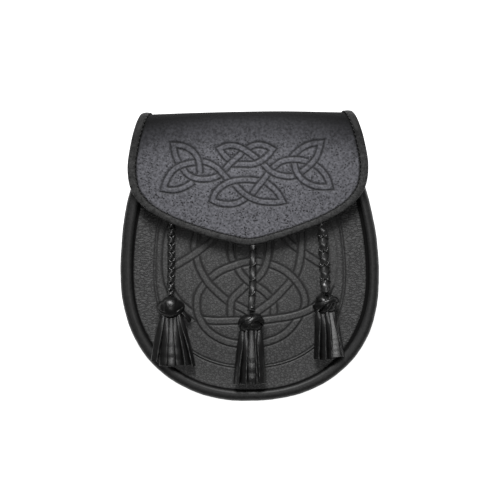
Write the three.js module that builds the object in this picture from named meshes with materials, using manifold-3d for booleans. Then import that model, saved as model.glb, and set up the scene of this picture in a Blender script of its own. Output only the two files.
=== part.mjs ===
// Day sporran: a black leather pouch with a rounded flap, rolled edges and three tassels on thongs.
// Lengths are millimetres. The pouch lies on its back: +Z points out of its front, +Y to its folded
// top edge and +X to the right of someone who looks at the front. The floor is the plane z = 0.
import * as THREE from 'three';
import { mergeVertices } from 'three/addons/utils/BufferGeometryUtils.js';
import Module from 'manifold-3d';

const wasm = await Module();
wasm.setup();

// Outline of the pouch, seen from the front
const HALF_WIDTH = 90;
const WIDEST_Y = -12.5;
const BOTTOM_DEPTH = 87.7;
const BOTTOM_POWER = 2.2;
const SIDE_RADIUS = 213;
const SHOULDER_Y = 46;
const MOUTH_Y = 81;
const MOUTH_HALF = 71.8;

// Leather and the clearance between neighbouring pieces
const PANEL_LEATHER = 2;
const BACK_LEATHER = 2.2;
const GAP = 0.3;

// Front panel: flat at its seam, domed by what the pouch holds
const FRONT_SEAM_Z = 24.3;
const FRONT_DOME = 3.7;
const FRONT_EDGE_INSET = 6.2;
const MOUTH_FLATTENING = 0.6;

// Back and flap are one length of leather: up the back, round the fold over the mouth, down the front.
// The back's middle is dished in, which leaves room for the belt loops above the floor.
const EDGE_PROUD = 1.3;
const BACK_DISH = 5.4;
const BACK_EDGE_INSET = 1.5;
const FOLD_RADIUS = 16;
const FOLD_Z = FOLD_RADIUS + EDGE_PROUD;
const FOLD_Y = 100.2 - FOLD_Z;
const FOLD_BOW = 1.2;
const FOLD_BOW_HALF = 68;
const FLAP_RISE = 2.8;
const FLAP_DROOP = 3;
const FLAP_CROWN_HALF = 80;
const FLAP_RISE_END_Y = 40;

// Belt loops: a strap 25 mm wide passes through both, along X
const LOOP_X = 42;
const LOOP_Y = 38;
const LOOP_WIDTH = 20;
const LOOP_SLOT = 28;
const LOOP_LENGTH = 50;
const LOOP_LEATHER = 2;

// Closure stud between the front panel and the flap
const STUD_Y = 26;
const STUD_RADIUS = 6.5;
const STUD_NECK_RADIUS = 3;
const STUD_FLANGE = 1;

// Thongs and tassels
const THONG_THICKNESS = 3.2;
const KNOT = { halfWidth: 8.8, halfLength: 6.6, halfHeight: 6.2 };
const COLLAR = { radius: 2.9, reach: 7.5, drop: 1.5 };
// A skirt's strips narrow to neckShare of their width at the knot. Every second one lies a step
// higher, and the outer ones end a little higher up than the middle ones.
const STRIP = { width: 5.8, leather: 1.6, neckShare: 0.62, step: 1.3, rounding: 3 };
const STRIP_CLEARANCE = 0.2;

// How finely the curved pieces are divided
const OUTLINE_STATIONS = 46;
const PANEL_ROWS = 20;
const PANEL_COLUMNS = [-1, -0.955, -0.89, -0.8, -0.6, -0.3, 0, 0.3, 0.6, 0.8, 0.89, 0.955, 1];
const BACK_ROWS = 23;
const FOLD_ROWS = 9;
const FLAP_ROWS = 19;
const STRIP_RINGS = 6;

// Each thong's route, from under the flap down to its knot, then its knot and its skirt of strips.
// x, y: knot centre. strips: how many. top: half-spread at the neck. left, right: where the outer
// strips end, measured from the knot. length: from the knot centre to the cut ends.
const TASSELS = [
  {
    side: 'left', x: -55.2, y: -34.5, strips: 6, top: 4.6, left: -12.8, right: 13.6, length: 40,
    thongWidth: 5.3,
    route: [
      [-53.5, 30, 27.9], [-53.7, 23, 28.1], [-54, 15, 28.1], [-54.1, 7, 28.1], [-54.2, -1, 28.1],
      [-54.4, -9, 28.1], [-54.8, -16, 28.4], [-55.1, -22, 29.5], [-55.2, -26.3, 30.6],
    ],
  },
  {
    side: 'centre', x: 0.3, y: -46.2, strips: 5, top: 5.4, left: -11.2, right: 6.4, length: 42.4,
    thongWidth: 4.4,
    route: [
      [2.6, 17, 29.9], [2.5, 11, 30.1], [2.4, 4, 30.1], [2.2, -4, 30.1], [2, -12, 30.1],
      [1.7, -20, 30.1], [1.2, -28, 30.3], [0.6, -34, 31.6], [0.3, -38, 32.8],
    ],
  },
  {
    side: 'right', x: 52.3, y: -33.9, strips: 5, top: 4.8, left: -7.6, right: 8.8, length: 38.7,
    thongWidth: 5.4,
    route: [
      [51, 30, 28], [51.1, 23, 28.2], [51.2, 15, 28.2], [51.4, 7, 28.2], [51.6, -1, 28.2],
      [51.9, -9, 28.3], [52.1, -16, 28.6], [52.2, -22, 29.9], [52.3, -25.7, 30.8],
    ],
  },
];

// Piping rolled over the seam of the front panel and the gusset: distance in from the outline, height
const PIPING_SECTION = [
  { inset: 2.4, z: 19.5 }, { inset: 8.6, z: 19.5 }, { inset: 9.2, z: 22 }, { inset: 5.9, z: 22 },
  { inset: 5.9, z: 24.6 }, { inset: 9.5, z: 24.6 }, { inset: 8.7, z: 26 }, { inset: 7, z: 26.8 },
  { inset: 4.8, z: 27 }, { inset: 2.4, z: 26.4 }, { inset: 0.6, z: 24.9 }, { inset: 0, z: 23 },
  { inset: 0.7, z: 20.8 },
];

// Gusset wall, slightly folded in at the middle of its height
const GUSSET_SECTION = [
  { inset: 3.4, z: 5.1 }, { inset: 5.4, z: 5.1 }, { inset: 6.2, z: 8.6 }, { inset: 6.4, z: 12.2 },
  { inset: 6.2, z: 15.7 }, { inset: 5.4, z: 19.2 }, { inset: 3.4, z: 19.2 }, { inset: 4.2, z: 15.7 },
  { inset: 4.4, z: 12.2 }, { inset: 4.2, z: 8.6 },
];

// Binding folded round the edge of the back and flap: z is measured from the leather's outer face
const BINDING_SECTION = [
  { inset: 0, z: -2.2 }, { inset: 0.5, z: -3.2 }, { inset: 1.4, z: -3.5 }, { inset: 5.4, z: -3.5 },
  { inset: 5.6, z: -2.6 }, { inset: 1, z: -2.6 }, { inset: 1, z: 0.4 }, { inset: 5.6, z: 0.4 },
  { inset: 5.4, z: 1.3 }, { inset: 1.4, z: 1.3 }, { inset: 0.5, z: 1 }, { inset: 0, z: 0 },
];

// Section of a strip, in half-widths and half-thicknesses
const STRIP_SECTION = [
  { inset: -1, z: -1 }, { inset: 1, z: -1 }, { inset: 1, z: 1 }, { inset: -1, z: 1 },
];

// A value that eases from 0 at one end to 1 at the other
function ease(value, from, to) {
  const share = THREE.MathUtils.clamp((value - from) / (to - from), 0, 1);
  return share * share * (3 - 2 * share);
}

// Half the pouch's width at a height: straight taper, side arc, then a squarish rounded bottom
function outlineHalf(y) {
  const sideDrop = (height) => SIDE_RADIUS - Math.sqrt(SIDE_RADIUS ** 2 - (height - WIDEST_Y) ** 2);
  if (y >= SHOULDER_Y) {
    const shoulderHalf = HALF_WIDTH - sideDrop(SHOULDER_Y);
    return THREE.MathUtils.mapLinear(y, SHOULDER_Y, MOUTH_Y, shoulderHalf, MOUTH_HALF);
  }
  if (y >= WIDEST_Y) {
    return HALF_WIDTH - sideDrop(y);
  }
  const depth = Math.min((WIDEST_Y - y) / BOTTOM_DEPTH, 1);
  return HALF_WIDTH * (1 - depth ** BOTTOM_POWER) ** (1 / BOTTOM_POWER);
}

// About how far a point lies inside the outline
function insetOf(x, y) {
  if (y >= WIDEST_Y) {
    return outlineHalf(y) - Math.abs(x);
  }
  const across = Math.abs(x) / HALF_WIDTH;
  const down = (WIDEST_Y - y) / BOTTOM_DEPTH;
  const reach = (across ** BOTTOM_POWER + down ** BOTTOM_POWER) ** (1 / BOTTOM_POWER);
  return HALF_WIDTH * (1 - reach);
}

// The outline as one curve, from the mouth's right end round the bottom to its left end
function makeOutline() {
  const right = [];
  for (const y of [MOUTH_Y, 63, SHOULDER_Y, 31, 16, 2, WIDEST_Y]) {
    right.push(new THREE.Vector2(outlineHalf(y), y));
  }
  for (let degrees = 10; degrees <= 80; degrees += 10) {
    const angle = THREE.MathUtils.degToRad(degrees);
    const x = HALF_WIDTH * Math.cos(angle) ** (2 / BOTTOM_POWER);
    const y = WIDEST_Y - BOTTOM_DEPTH * Math.sin(angle) ** (2 / BOTTOM_POWER);
    right.push(new THREE.Vector2(x, y));
  }
  const lowest = new THREE.Vector2(0, WIDEST_Y - BOTTOM_DEPTH);
  const left = right.map((point) => new THREE.Vector2(-point.x, point.y)).reverse();
  return new THREE.SplineCurve([...right, lowest, ...left]);
}

const outline = makeOutline();

// A point of a plane curve moved inwards
function insetPoint(curve, share, inset) {
  const tangent = curve.getTangentAt(share);
  const inward = new THREE.Vector2(tangent.y, -tangent.x);
  const { x, y } = curve.getPointAt(share);
  return new THREE.Vector2(x, y).addScaledVector(inward, inset);
}

// Outer faces of the two panels
function frontZ(x, y) {
  const fullness = 1 - MOUTH_FLATTENING * ease(y, 30, MOUTH_Y);
  return FRONT_SEAM_Z + FRONT_DOME * fullness * ease(insetOf(x, y), 9.5, 60);
}

function backZ(x, y) {
  const fade = 1 - ease(y, 72, FOLD_Y);
  return EDGE_PROUD + BACK_DISH * fade * ease(insetOf(x, y), 9, 17);
}

// Height that something laid on the pouch's front rests at
function restZ(x, y) {
  const pipingTop = Math.max(...PIPING_SECTION.map((row) => row.z));
  const onPanel = ease(insetOf(x, y), 12, 17);
  return THREE.MathUtils.lerp(pipingTop, frontZ(x, y), onPanel) + GAP;
}

// The back and flap laid out flat: x across, v along from the lowest edge of the back to the tip
const BACK_LOW_Y = WIDEST_Y - BOTTOM_DEPTH + BACK_EDGE_INSET;
const FOLD_START_V = FOLD_Y - BACK_LOW_Y;
const FOLD_END_V = FOLD_START_V + Math.PI * FOLD_RADIUS;
const backV = (y) => y - BACK_LOW_Y;
const foldV = (degrees) => THREE.MathUtils.mapLinear(degrees, -90, 90, FOLD_START_V, FOLD_END_V);
const frontV = (y) => FOLD_END_V + FOLD_Y - y;

const FLAP_EDGE = [
  { v: foldV(-60), half: 70.4 },
  { v: foldV(0), half: 73 },
  { v: foldV(60), half: 77.9 },
  { v: frontV(79.4), half: 81.4 },
  { v: frontV(61), half: 83.9 },
  { v: frontV(46.5), half: 81 },
  { v: frontV(35.5), half: 73 },
  { v: frontV(24.8), half: 56.4 },
  { v: frontV(16), half: 34.5 },
  { v: frontV(10.2), half: 15 },
];
const FLAP_TIP_V = frontV(7.4);

// The whole edge as one closed curve that starts at the lowest point of the back
function makeBackEdge() {
  const right = [];
  for (let share = 0.46; share > 0; share -= 0.04) {
    const point = insetPoint(outline, share, BACK_EDGE_INSET);
    right.push(new THREE.Vector3(point.x, -backV(point.y), 0));
  }
  for (const row of FLAP_EDGE) {
    right.push(new THREE.Vector3(row.half, -row.v, 0));
  }
  const left = right.map((point) => new THREE.Vector3(-point.x, point.y, 0)).reverse();
  const ends = { low: new THREE.Vector3(0, 0, 0), tip: new THREE.Vector3(0, -FLAP_TIP_V, 0) };
  const curve = new THREE.CatmullRomCurve3([ends.low, ...right, ends.tip, ...left], true);
  curve.arcLengthDivisions = 900;
  return curve;
}

const backEdge = makeBackEdge();

// Shares of the edge's right half where rows of the leather and rings of the binding stand
function makeEdgeShares() {
  const shareAt = (v) => {
    let share = 0;
    while (-backEdge.getPointAt(share).y < v) {
      share += 0.001;
    }
    return share;
  };
  const marks = [0.004, shareAt(FOLD_START_V), shareAt(FOLD_END_V), 0.4965];
  const shares = [marks[0]];
  [BACK_ROWS, FOLD_ROWS, FLAP_ROWS].forEach((rows, stretch) => {
    for (let row = 1; row <= rows; row += 1) {
      shares.push(THREE.MathUtils.lerp(marks[stretch], marks[stretch + 1], row / rows));
    }
  });
  return shares;
}

const edgeShares = makeEdgeShares();

// Height of the flap's outer face on the front: crowned in the middle, lower at its sides
function flapZ(x, y) {
  const settled = 1 - ease(y, FLAP_RISE_END_Y, FOLD_Y);
  const crown = FLAP_RISE - FLAP_DROOP * (x / FLAP_CROWN_HALF) ** 2;
  return FOLD_Z + FOLD_RADIUS + settled * crown;
}

// Where a point of the flat leather ends up, and which way its outer face looks there
function placeLeather(x, v) {
  if (v < FOLD_START_V) {
    const y = BACK_LOW_Y + v;
    return { point: new THREE.Vector3(x, y, backZ(x, y)), normal: new THREE.Vector3(0, 0, -1) };
  }
  if (v < FOLD_END_V) {
    const angle = (v - FOLD_START_V) / FOLD_RADIUS - Math.PI / 2;
    const normal = new THREE.Vector3(0, Math.cos(angle), Math.sin(angle));
    const bow = FOLD_BOW * Math.max(1 - (x / FOLD_BOW_HALF) ** 2, 0);
    const y = FOLD_Y + (FOLD_RADIUS + bow) * normal.y;
    return { point: new THREE.Vector3(x, y, FOLD_Z + FOLD_RADIUS * normal.z), normal };
  }
  const y = FOLD_Y - (v - FOLD_END_V);
  const slopeX = flapZ(x + 0.5, y) - flapZ(x - 0.5, y);
  const slopeY = flapZ(x, y + 0.5) - flapZ(x, y - 0.5);
  const normal = new THREE.Vector3(-slopeX, -slopeY, 1).normalize();
  return { point: new THREE.Vector3(x, y, flapZ(x, y)), normal };
}

// A closed body from its points and triangles, with every face turned to look out of it
function closedBody(points, triangles) {
  let volume = 0;
  for (const [a, b, c] of triangles) {
    volume += points[a].dot(points[b].clone().cross(points[c]));
  }
  const faces = volume < 0 ? triangles.map(([a, b, c]) => [a, c, b]) : triangles;
  const geometry = new THREE.BufferGeometry().setFromPoints(points);
  geometry.setIndex(faces.flat());
  geometry.computeVertexNormals();
  return geometry;
}

// A sheet of leather: two matching grids of points joined round their edges
function sheetBody(outer, inner) {
  const rows = outer.length;
  const columns = outer[0].length;
  const points = [...outer.flat(), ...inner.flat()];
  const innerStart = rows * columns;
  const triangles = [];
  const addQuad = (a, b, c, d) => triangles.push([a, b, c], [a, c, d]);
  for (let row = 0; row < rows - 1; row += 1) {
    for (let column = 0; column < columns - 1; column += 1) {
      const a = row * columns + column;
      addQuad(a, a + 1, a + columns + 1, a + columns);
      addQuad(innerStart + a + columns, innerStart + a + columns + 1, innerStart + a + 1, innerStart + a);
    }
    const first = row * columns;
    const last = first + columns - 1;
    addQuad(first + columns, innerStart + first + columns, innerStart + first, first);
    addQuad(last, innerStart + last, innerStart + last + columns, last + columns);
  }
  const bottom = (rows - 1) * columns;
  for (let column = 0; column < columns - 1; column += 1) {
    addQuad(column, innerStart + column, innerStart + column + 1, column + 1);
    const b = bottom + column;
    addQuad(b + 1, innerStart + b + 1, innerStart + b, b);
  }
  return closedBody(points, triangles);
}

// A band: one section carried through a list of rings of points, round a loop or between two ends
function bandBody(rings, section, isLoop = false) {
  const size = section.length;
  const points = rings.flat();
  const triangles = [];
  for (let ring = 0; ring < rings.length - (isLoop ? 0 : 1); ring += 1) {
    const start = ring * size;
    const nextStart = (ring + 1) % rings.length * size;
    for (let corner = 0; corner < size; corner += 1) {
      const next = (corner + 1) % size;
      triangles.push([start + corner, start + next, nextStart + next]);
      triangles.push([start + corner, nextStart + next, nextStart + corner]);
    }
  }
  if (isLoop) {
    return closedBody(points, triangles);
  }
  const flat = section.map((row) => new THREE.Vector2(row.inset, row.z));
  const lastRing = (rings.length - 1) * size;
  for (const [a, b, c] of THREE.ShapeUtils.triangulateShape(flat, [])) {
    triangles.push([a, c, b], [lastRing + a, lastRing + b, lastRing + c]);
  }
  return closedBody(points, triangles);
}

// A band that follows the pouch's outline at its section's own heights
function outlineBand(section) {
  const rings = [];
  for (let station = 0; station <= OUTLINE_STATIONS; station += 1) {
    const share = station / OUTLINE_STATIONS;
    rings.push(section.map((row) => {
      const point = insetPoint(outline, share, row.inset);
      return new THREE.Vector3(point.x, point.y, row.z);
    }));
  }
  return bandBody(rings, section);
}

// The front panel, its edge held in the piping
function frontPanelBody() {
  const outer = [];
  const inner = [];
  const lastShare = 0.488;
  for (let row = 0; row <= PANEL_ROWS; row += 1) {
    const point = insetPoint(outline, lastShare * row / PANEL_ROWS, FRONT_EDGE_INSET);
    const xs = PANEL_COLUMNS.map((column) => point.x * column);
    outer.push(xs.map((x) => new THREE.Vector3(x, point.y, frontZ(x, point.y))));
    inner.push(xs.map((x) => new THREE.Vector3(x, point.y, frontZ(x, point.y) - PANEL_LEATHER)));
  }
  return sheetBody(outer, inner);
}

// The back and flap, inside their binding
function backAndFlapBody() {
  const outer = [];
  const inner = [];
  for (const share of edgeShares) {
    const point = insetPoint(backEdge, share, EDGE_PROUD);
    const places = PANEL_COLUMNS.map((column) => placeLeather(point.x * column, -point.y));
    outer.push(places.map((place) => place.point));
    inner.push(places.map((place) => place.point.clone().addScaledVector(place.normal, -BACK_LEATHER)));
  }
  return sheetBody(outer, inner);
}

// The binding, one closed loop round the back and the flap
function edgeBindingBody() {
  const leftShares = edgeShares.map((share) => 1 - share).reverse();
  const rings = [...edgeShares, ...leftShares].map((share) => {
    const edge = insetPoint(backEdge, share, 0);
    const { normal } = placeLeather(edge.x, -edge.y);
    return BINDING_SECTION.map((row) => {
      const inside = insetPoint(backEdge, share, row.inset);
      return placeLeather(inside.x, -inside.y).point.addScaledVector(normal, row.z);
    });
  });
  return bandBody(rings, BINDING_SECTION, true);
}

// One plain stud with a flange against each leather
function studBody() {
  const low = Math.max(frontZ(0, STUD_Y), frontZ(0, STUD_Y - STUD_RADIUS)) + GAP;
  const high = flapZ(0, STUD_Y) - BACK_LEATHER - GAP;
  const profile = [
    [0, low], [STUD_RADIUS, low], [STUD_RADIUS, low + STUD_FLANGE],
    [STUD_NECK_RADIUS, low + STUD_FLANGE], [STUD_NECK_RADIUS, high - STUD_FLANGE],
    [STUD_RADIUS, high - STUD_FLANGE], [STUD_RADIUS, high], [0, high],
  ];
  const geometry = new THREE.LatheGeometry(profile.map(([r, z]) => new THREE.Vector2(r, z)), 20);
  return geometry.rotateX(Math.PI / 2);
}

// A belt loop: two tabs sewn to the back panel and a bridge that drops to the floor between them
function loopBody() {
  const tabHigh = EDGE_PROUD + BACK_DISH - GAP;
  const tabLow = tabHigh - LOOP_LEATHER;
  const halfSlot = LOOP_SLOT / 2;
  const halfLength = LOOP_LENGTH / 2;
  const rampRun = 2.2;
  const corner = 0.6;
  const right = [
    [halfSlot + corner, 0], [halfSlot + LOOP_LEATHER - corner, corner],
    [halfSlot + LOOP_LEATHER + rampRun, tabLow], [halfLength, tabLow], [halfLength, tabHigh],
    [halfSlot + rampRun, tabHigh], [halfSlot, LOOP_LEATHER],
  ];
  const left = right.map(([y, z]) => [-y, z]).reverse();
  const shape = new THREE.Shape([...right, ...left].map(([y, z]) => new THREE.Vector2(y, z)));
  const geometry = new THREE.ExtrudeGeometry(shape, { depth: LOOP_WIDTH, bevelEnabled: false });
  const toFrame = new THREE.Matrix4().makeBasis(
    new THREE.Vector3(0, 1, 0),
    new THREE.Vector3(0, 0, 1),
    new THREE.Vector3(1, 0, 0),
  );
  return geometry.applyMatrix4(toFrame).translate(-LOOP_WIDTH / 2, 0, 0);
}

// A thong's plain tube along its route
function thongBody(tassel) {
  const section = new THREE.Shape();
  section.absellipse(0, 0, tassel.thongWidth / 2, THONG_THICKNESS / 2, 0, 2 * Math.PI);
  const route = new THREE.CatmullRomCurve3(tassel.route.map((point) => new THREE.Vector3(...point)));
  const steps = Math.round(route.getLength() / (1.6 * tassel.thongWidth));
  return new THREE.ExtrudeGeometry(section, { steps, curveSegments: 5, extrudePath: route });
}

function toSolid(geometry) {
  const bare = geometry.clone();
  bare.deleteAttribute('normal');
  bare.deleteAttribute('uv');
  const merged = mergeVertices(bare, 1e-4);
  return new wasm.Manifold(new wasm.Mesh({
    numProp: 3,
    vertProperties: new Float32Array(merged.attributes.position.array),
    triVerts: new Uint32Array(merged.index.array),
  }));
}

function fromSolid(solid) {
  const mesh = solid.getMesh();
  const geometry = new THREE.BufferGeometry();
  geometry.setAttribute('position', new THREE.BufferAttribute(new Float32Array(mesh.vertProperties), 3));
  geometry.setIndex(new THREE.BufferAttribute(new Uint32Array(mesh.triVerts), 1));
  geometry.computeVertexNormals();
  return geometry;
}

// One strip of a skirt: it leaves the knot, comes down to the leather below it and lies there
function stripBody(tassel, index, knotZ) {
  const share = index / (tassel.strips - 1);
  const topX = tassel.x + THREE.MathUtils.lerp(-tassel.top, tassel.top, share);
  const endX = tassel.x + THREE.MathUtils.lerp(tassel.left, tassel.right, share);
  const raised = (index % 2) * STRIP.step;
  const startY = tassel.y - KNOT.halfLength / 2;
  const endY = tassel.y - tassel.length + STRIP.rounding * (2 * share - 1) ** 2;
  const rings = [];
  for (let ring = 0; ring <= STRIP_RINGS; ring += 1) {
    const along = ring / STRIP_RINGS;
    const x = THREE.MathUtils.lerp(topX, endX, along);
    const y = THREE.MathUtils.lerp(startY, endY, along);
    const lyingZ = restZ(x, y) + STRIP_CLEARANCE + STRIP.leather / 2;
    const z = THREE.MathUtils.lerp(knotZ - 1, lyingZ, ease(along, 0, 0.6)) + raised;
    const halfWidth = STRIP.width / 2 * THREE.MathUtils.lerp(STRIP.neckShare, 1, ease(along, 0, 0.5));
    rings.push(STRIP_SECTION.map((row) => new THREE.Vector3(
      x + row.inset * halfWidth,
      y,
      z + row.z * STRIP.leather / 2,
    )));
  }
  return bandBody(rings, STRIP_SECTION);
}

// Knot, the collar that its thong enters, and the skirt, all one piece of tied leather
function tasselBody(tassel) {
  const knotZ = restZ(tassel.x, tassel.y) + KNOT.halfHeight;
  const knot = new THREE.SphereGeometry(1, 16, 10).rotateX(Math.PI / 2);
  knot.scale(KNOT.halfWidth, KNOT.halfLength, KNOT.halfHeight);
  knot.translate(tassel.x, tassel.y, knotZ);
  const collar = new THREE.CylinderGeometry(COLLAR.radius, COLLAR.radius, COLLAR.reach, 12);
  collar.translate(tassel.x, tassel.y + COLLAR.reach / 2, knotZ - COLLAR.drop);
  let solid = toSolid(knot).add(toSolid(collar));
  for (let index = 0; index < tassel.strips; index += 1) {
    solid = solid.add(toSolid(stripBody(tassel, index, knotZ)));
  }
  return fromSolid(solid);
}

// A leather finish from its dyed colour
function leather(color, roughness) {
  return new THREE.MeshStandardMaterial({ color, roughness, metalness: 0 });
}

const grainLeather = leather(0x424242, 0.55);
const flapLeather = leather(0x626265, 0.5);
const edgeLeather = leather(0x2c2c2b, 0.35);
const gussetLeather = leather(0x303030, 0.6);
const thongLeather = leather(0x343434, 0.4);
const tasselLeather = leather(0x242424, 0.4);
const studMetal = new THREE.MeshStandardMaterial({ color: 0x8a8a8c, roughness: 0.35, metalness: 1 });

const sporran = new THREE.Group();

function addPiece(name, geometry, material) {
  const piece = new THREE.Mesh(geometry, material);
  piece.name = name;
  sporran.add(piece);
  return piece;
}

addPiece('front_panel', frontPanelBody(), grainLeather);
addPiece('front_piping', outlineBand(PIPING_SECTION), edgeLeather);
addPiece('gusset', outlineBand(GUSSET_SECTION), gussetLeather);
addPiece('back_and_flap', backAndFlapBody(), flapLeather);
addPiece('edge_binding', edgeBindingBody(), edgeLeather);
addPiece('closure_stud', studBody(), studMetal).position.set(0, STUD_Y, 0);

for (const [side, sign] of [['left', -1], ['right', 1]]) {
  addPiece(`belt_loop_${side}`, loopBody(), grainLeather).position.set(sign * LOOP_X, LOOP_Y, 0);
}

for (const tassel of TASSELS) {
  addPiece(`thong_${tassel.side}`, thongBody(tassel), thongLeather);
  addPiece(`tassel_${tassel.side}`, tasselBody(tassel), tasselLeather);
}

export default sporran;
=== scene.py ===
# %% [markdown]
# # A black leather day sporran
#
# A sporran is the pouch that is worn in front of a kilt. This one is black leather: a domed front
# panel, a narrow gusset, a back that folds over the mouth and comes down as the flap, rolled edges,
# tooled interlace ornament, and three tassels that hang on braided thongs.
# It lies on its back: +Z points out of its front, +Y to its folded top edge, +X to the right.

import math

import bmesh
import bpy
import numpy as np
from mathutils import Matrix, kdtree


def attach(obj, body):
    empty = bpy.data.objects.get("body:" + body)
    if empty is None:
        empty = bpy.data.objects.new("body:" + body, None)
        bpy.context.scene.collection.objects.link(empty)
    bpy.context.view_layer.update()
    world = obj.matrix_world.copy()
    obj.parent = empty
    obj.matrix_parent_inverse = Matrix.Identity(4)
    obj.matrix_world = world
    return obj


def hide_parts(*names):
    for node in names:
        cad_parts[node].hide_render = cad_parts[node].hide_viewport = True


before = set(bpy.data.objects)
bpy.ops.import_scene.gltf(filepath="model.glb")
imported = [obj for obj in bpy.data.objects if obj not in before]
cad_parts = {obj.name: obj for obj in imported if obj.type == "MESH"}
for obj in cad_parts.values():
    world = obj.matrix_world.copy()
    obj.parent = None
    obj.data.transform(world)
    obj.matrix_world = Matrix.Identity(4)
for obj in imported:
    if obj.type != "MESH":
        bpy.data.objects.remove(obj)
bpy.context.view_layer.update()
print("CAD nodes:", ", ".join(sorted(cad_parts)))

# %% [markdown]
# ## Units and small helpers
#
# Leather work is measured in millimetres and Blender in metres, so the shapes are worked out in
# millimetres and turned to metres in one place, where a mesh is made. Numpy works out thousands of
# points at a time, which a loop over vertices would do slowly.

# %% Helpers for numbers
MM = 0.001


def ease(value, start, end):
    """0 before start, 1 after end, and a smooth step between them."""
    share = np.clip((np.asarray(value, float) - start) / (end - start), 0, 1)
    return share * share * (3 - 2 * share)


def mix(a, b, share):
    return a + (b - a) * share


def unit(vectors):
    return vectors / np.linalg.norm(vectors, axis=-1, keepdims=True)


def curve_through(points, closed=False, steps=16):
    """A smooth line through points: a centripetal Catmull-Rom curve, which doesn't overshoot."""
    points = np.asarray(points, float)
    if closed:
        padded = np.concatenate([points[-1:], points, points[:2]])
    else:
        before = 2 * points[:1] - points[1:2]
        after = 2 * points[-1:] - points[-2:-1]
        padded = np.concatenate([before, points, after])
    gaps = np.linalg.norm(np.diff(padded, axis=0), axis=1) ** 0.5
    share = np.linspace(0, 1, steps, endpoint=False)[:, None]
    pieces = []
    for i in range(len(padded) - 3):
        p0, p1, p2, p3 = padded[i:i + 4]
        g0, g1, g2 = gaps[i:i + 3]
        leave = ((p1 - p0) / g0 - (p2 - p0) / (g0 + g1) + (p2 - p1) / g1) * g1
        arrive = ((p2 - p1) / g1 - (p3 - p1) / (g1 + g2) + (p3 - p2) / g2) * g1
        pieces.append(
            (2 * share**3 - 3 * share**2 + 1) * p1
            + (share**3 - 2 * share**2 + share) * leave
            + (3 * share**2 - 2 * share**3) * p2
            + (share**3 - share**2) * arrive
        )
    if not closed:
        pieces.append(points[-1:])
    return np.concatenate(pieces)


def lengths_along(line):
    """Distance along a line of points, from its first point."""
    return np.concatenate([[0], np.cumsum(np.linalg.norm(np.diff(line, axis=0), axis=1))])


def resample(line, count):
    """The same line with evenly spaced points, and the direction it runs in at each."""
    along = lengths_along(line)
    even = np.linspace(0, along[-1], count)
    spaced = np.stack([np.interp(even, along, line[:, k]) for k in range(line.shape[1])], 1)
    return spaced, unit(np.gradient(spaced, axis=0))


# %% [markdown]
# ## Making a piece
#
# Every piece is a mesh from numbers. Closed bodies need every face to look outwards, so bmesh turns
# them once, and smooth shading lets the light run over the rolled edges. Each piece then says which
# body it rides on, which material slot it takes, and which plain solids it stands for.

# %% Meshes and pieces
def make_mesh(name, points, faces, attributes):
    """A mesh in metres from points in millimetres, with named numbers kept at its points."""
    mesh = bpy.data.meshes.new(name)
    mesh.from_pydata((np.asarray(points) * MM).tolist(), [], faces)
    solid = bmesh.new()
    solid.from_mesh(mesh)
    bmesh.ops.recalc_face_normals(solid, faces=solid.faces)
    solid.to_mesh(mesh)
    solid.free()
    for key, values in attributes.items():
        layer = mesh.attributes.new(key, "FLOAT", "POINT")
        layer.data.foreach_set("value", np.asarray(values, np.float32))
    mesh.shade_smooth()
    return mesh


def add_piece(name, shape, material, replaced=(), attributes=None):
    """A piece from a shape, which is its points and faces. Replaced names the plain solids it is for."""
    mesh = make_mesh(name, *shape, attributes or {})
    piece = bpy.data.objects.new(name, mesh)
    bpy.context.scene.collection.objects.link(piece)
    mesh.materials.append(material)
    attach(piece, "root")
    if replaced:
        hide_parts(*replaced)
    print(name, len(mesh.vertices), "points", len(mesh.polygons), "faces")
    return piece


# %% Faces of bands and sheets
def band(rings, loop=False):
    """Points and faces of one section carried along rings: (ring, corner, xyz). Ends are capped."""
    count, size = rings.shape[:2]
    index = np.arange(count * size).reshape(count, size)
    after = np.roll(index, -1, axis=0) if loop else index[1:]
    here = index if loop else index[:-1]
    quads = np.stack([here, np.roll(here, -1, axis=1), np.roll(after, -1, axis=1), after], -1)
    faces = quads.reshape(-1, 4).tolist()
    if not loop:
        faces += [index[0][::-1].tolist(), index[-1].tolist()]
    return rings.reshape(-1, 3), faces


def join_bodies(bodies):
    """One mesh's points and faces from several bodies that keep their own points."""
    points, faces, start = [], [], 0
    for body_points, body_faces in bodies:
        points.append(body_points)
        faces += [[start + corner for corner in face] for face in body_faces]
        start += len(body_points)
    return np.concatenate(points), faces


def sheet(outer, inner, step):
    """A sheet of leather: a fine outer grid, and an inner grid with every step-th row and column."""
    rows, columns = outer.shape[:2]
    fine = np.arange(rows * columns).reshape(rows, columns)
    coarse = np.arange(inner.shape[0] * inner.shape[1]).reshape(inner.shape[:2]) + fine.size

    def quads(index):
        corners = [index[:-1, :-1], index[:-1, 1:], index[1:, 1:], index[1:, :-1]]
        return np.stack(corners, -1).reshape(-1, 4).tolist()

    faces = quads(fine) + quads(coarse[:, ::-1])
    fine_edges = [fine[0], fine[:, -1], fine[-1], fine[:, 0]]
    coarse_edges = [coarse[0], coarse[:, -1], coarse[-1], coarse[:, 0]]
    for fine_edge, coarse_edge in zip(fine_edges, coarse_edges):
        for k in range(len(coarse_edge) - 1):
            run = fine_edge[k * step:(k + 1) * step + 1].tolist()
            faces.append(run + [int(coarse_edge[k + 1]), int(coarse_edge[k])])
    return np.concatenate([outer.reshape(-1, 3), inner.reshape(-1, 3)]), faces


# %% [markdown]
# ## Camera
#
# The photograph looks straight down at the pouch. A long lens from 1.6 metres up keeps the
# perspective as slight as a product photograph's. The pouch lies one degree askew in the picture,
# so the camera is turned by one degree the other way. The lens is worked out from the width of the
# picture at the height of the pouch's front.

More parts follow.
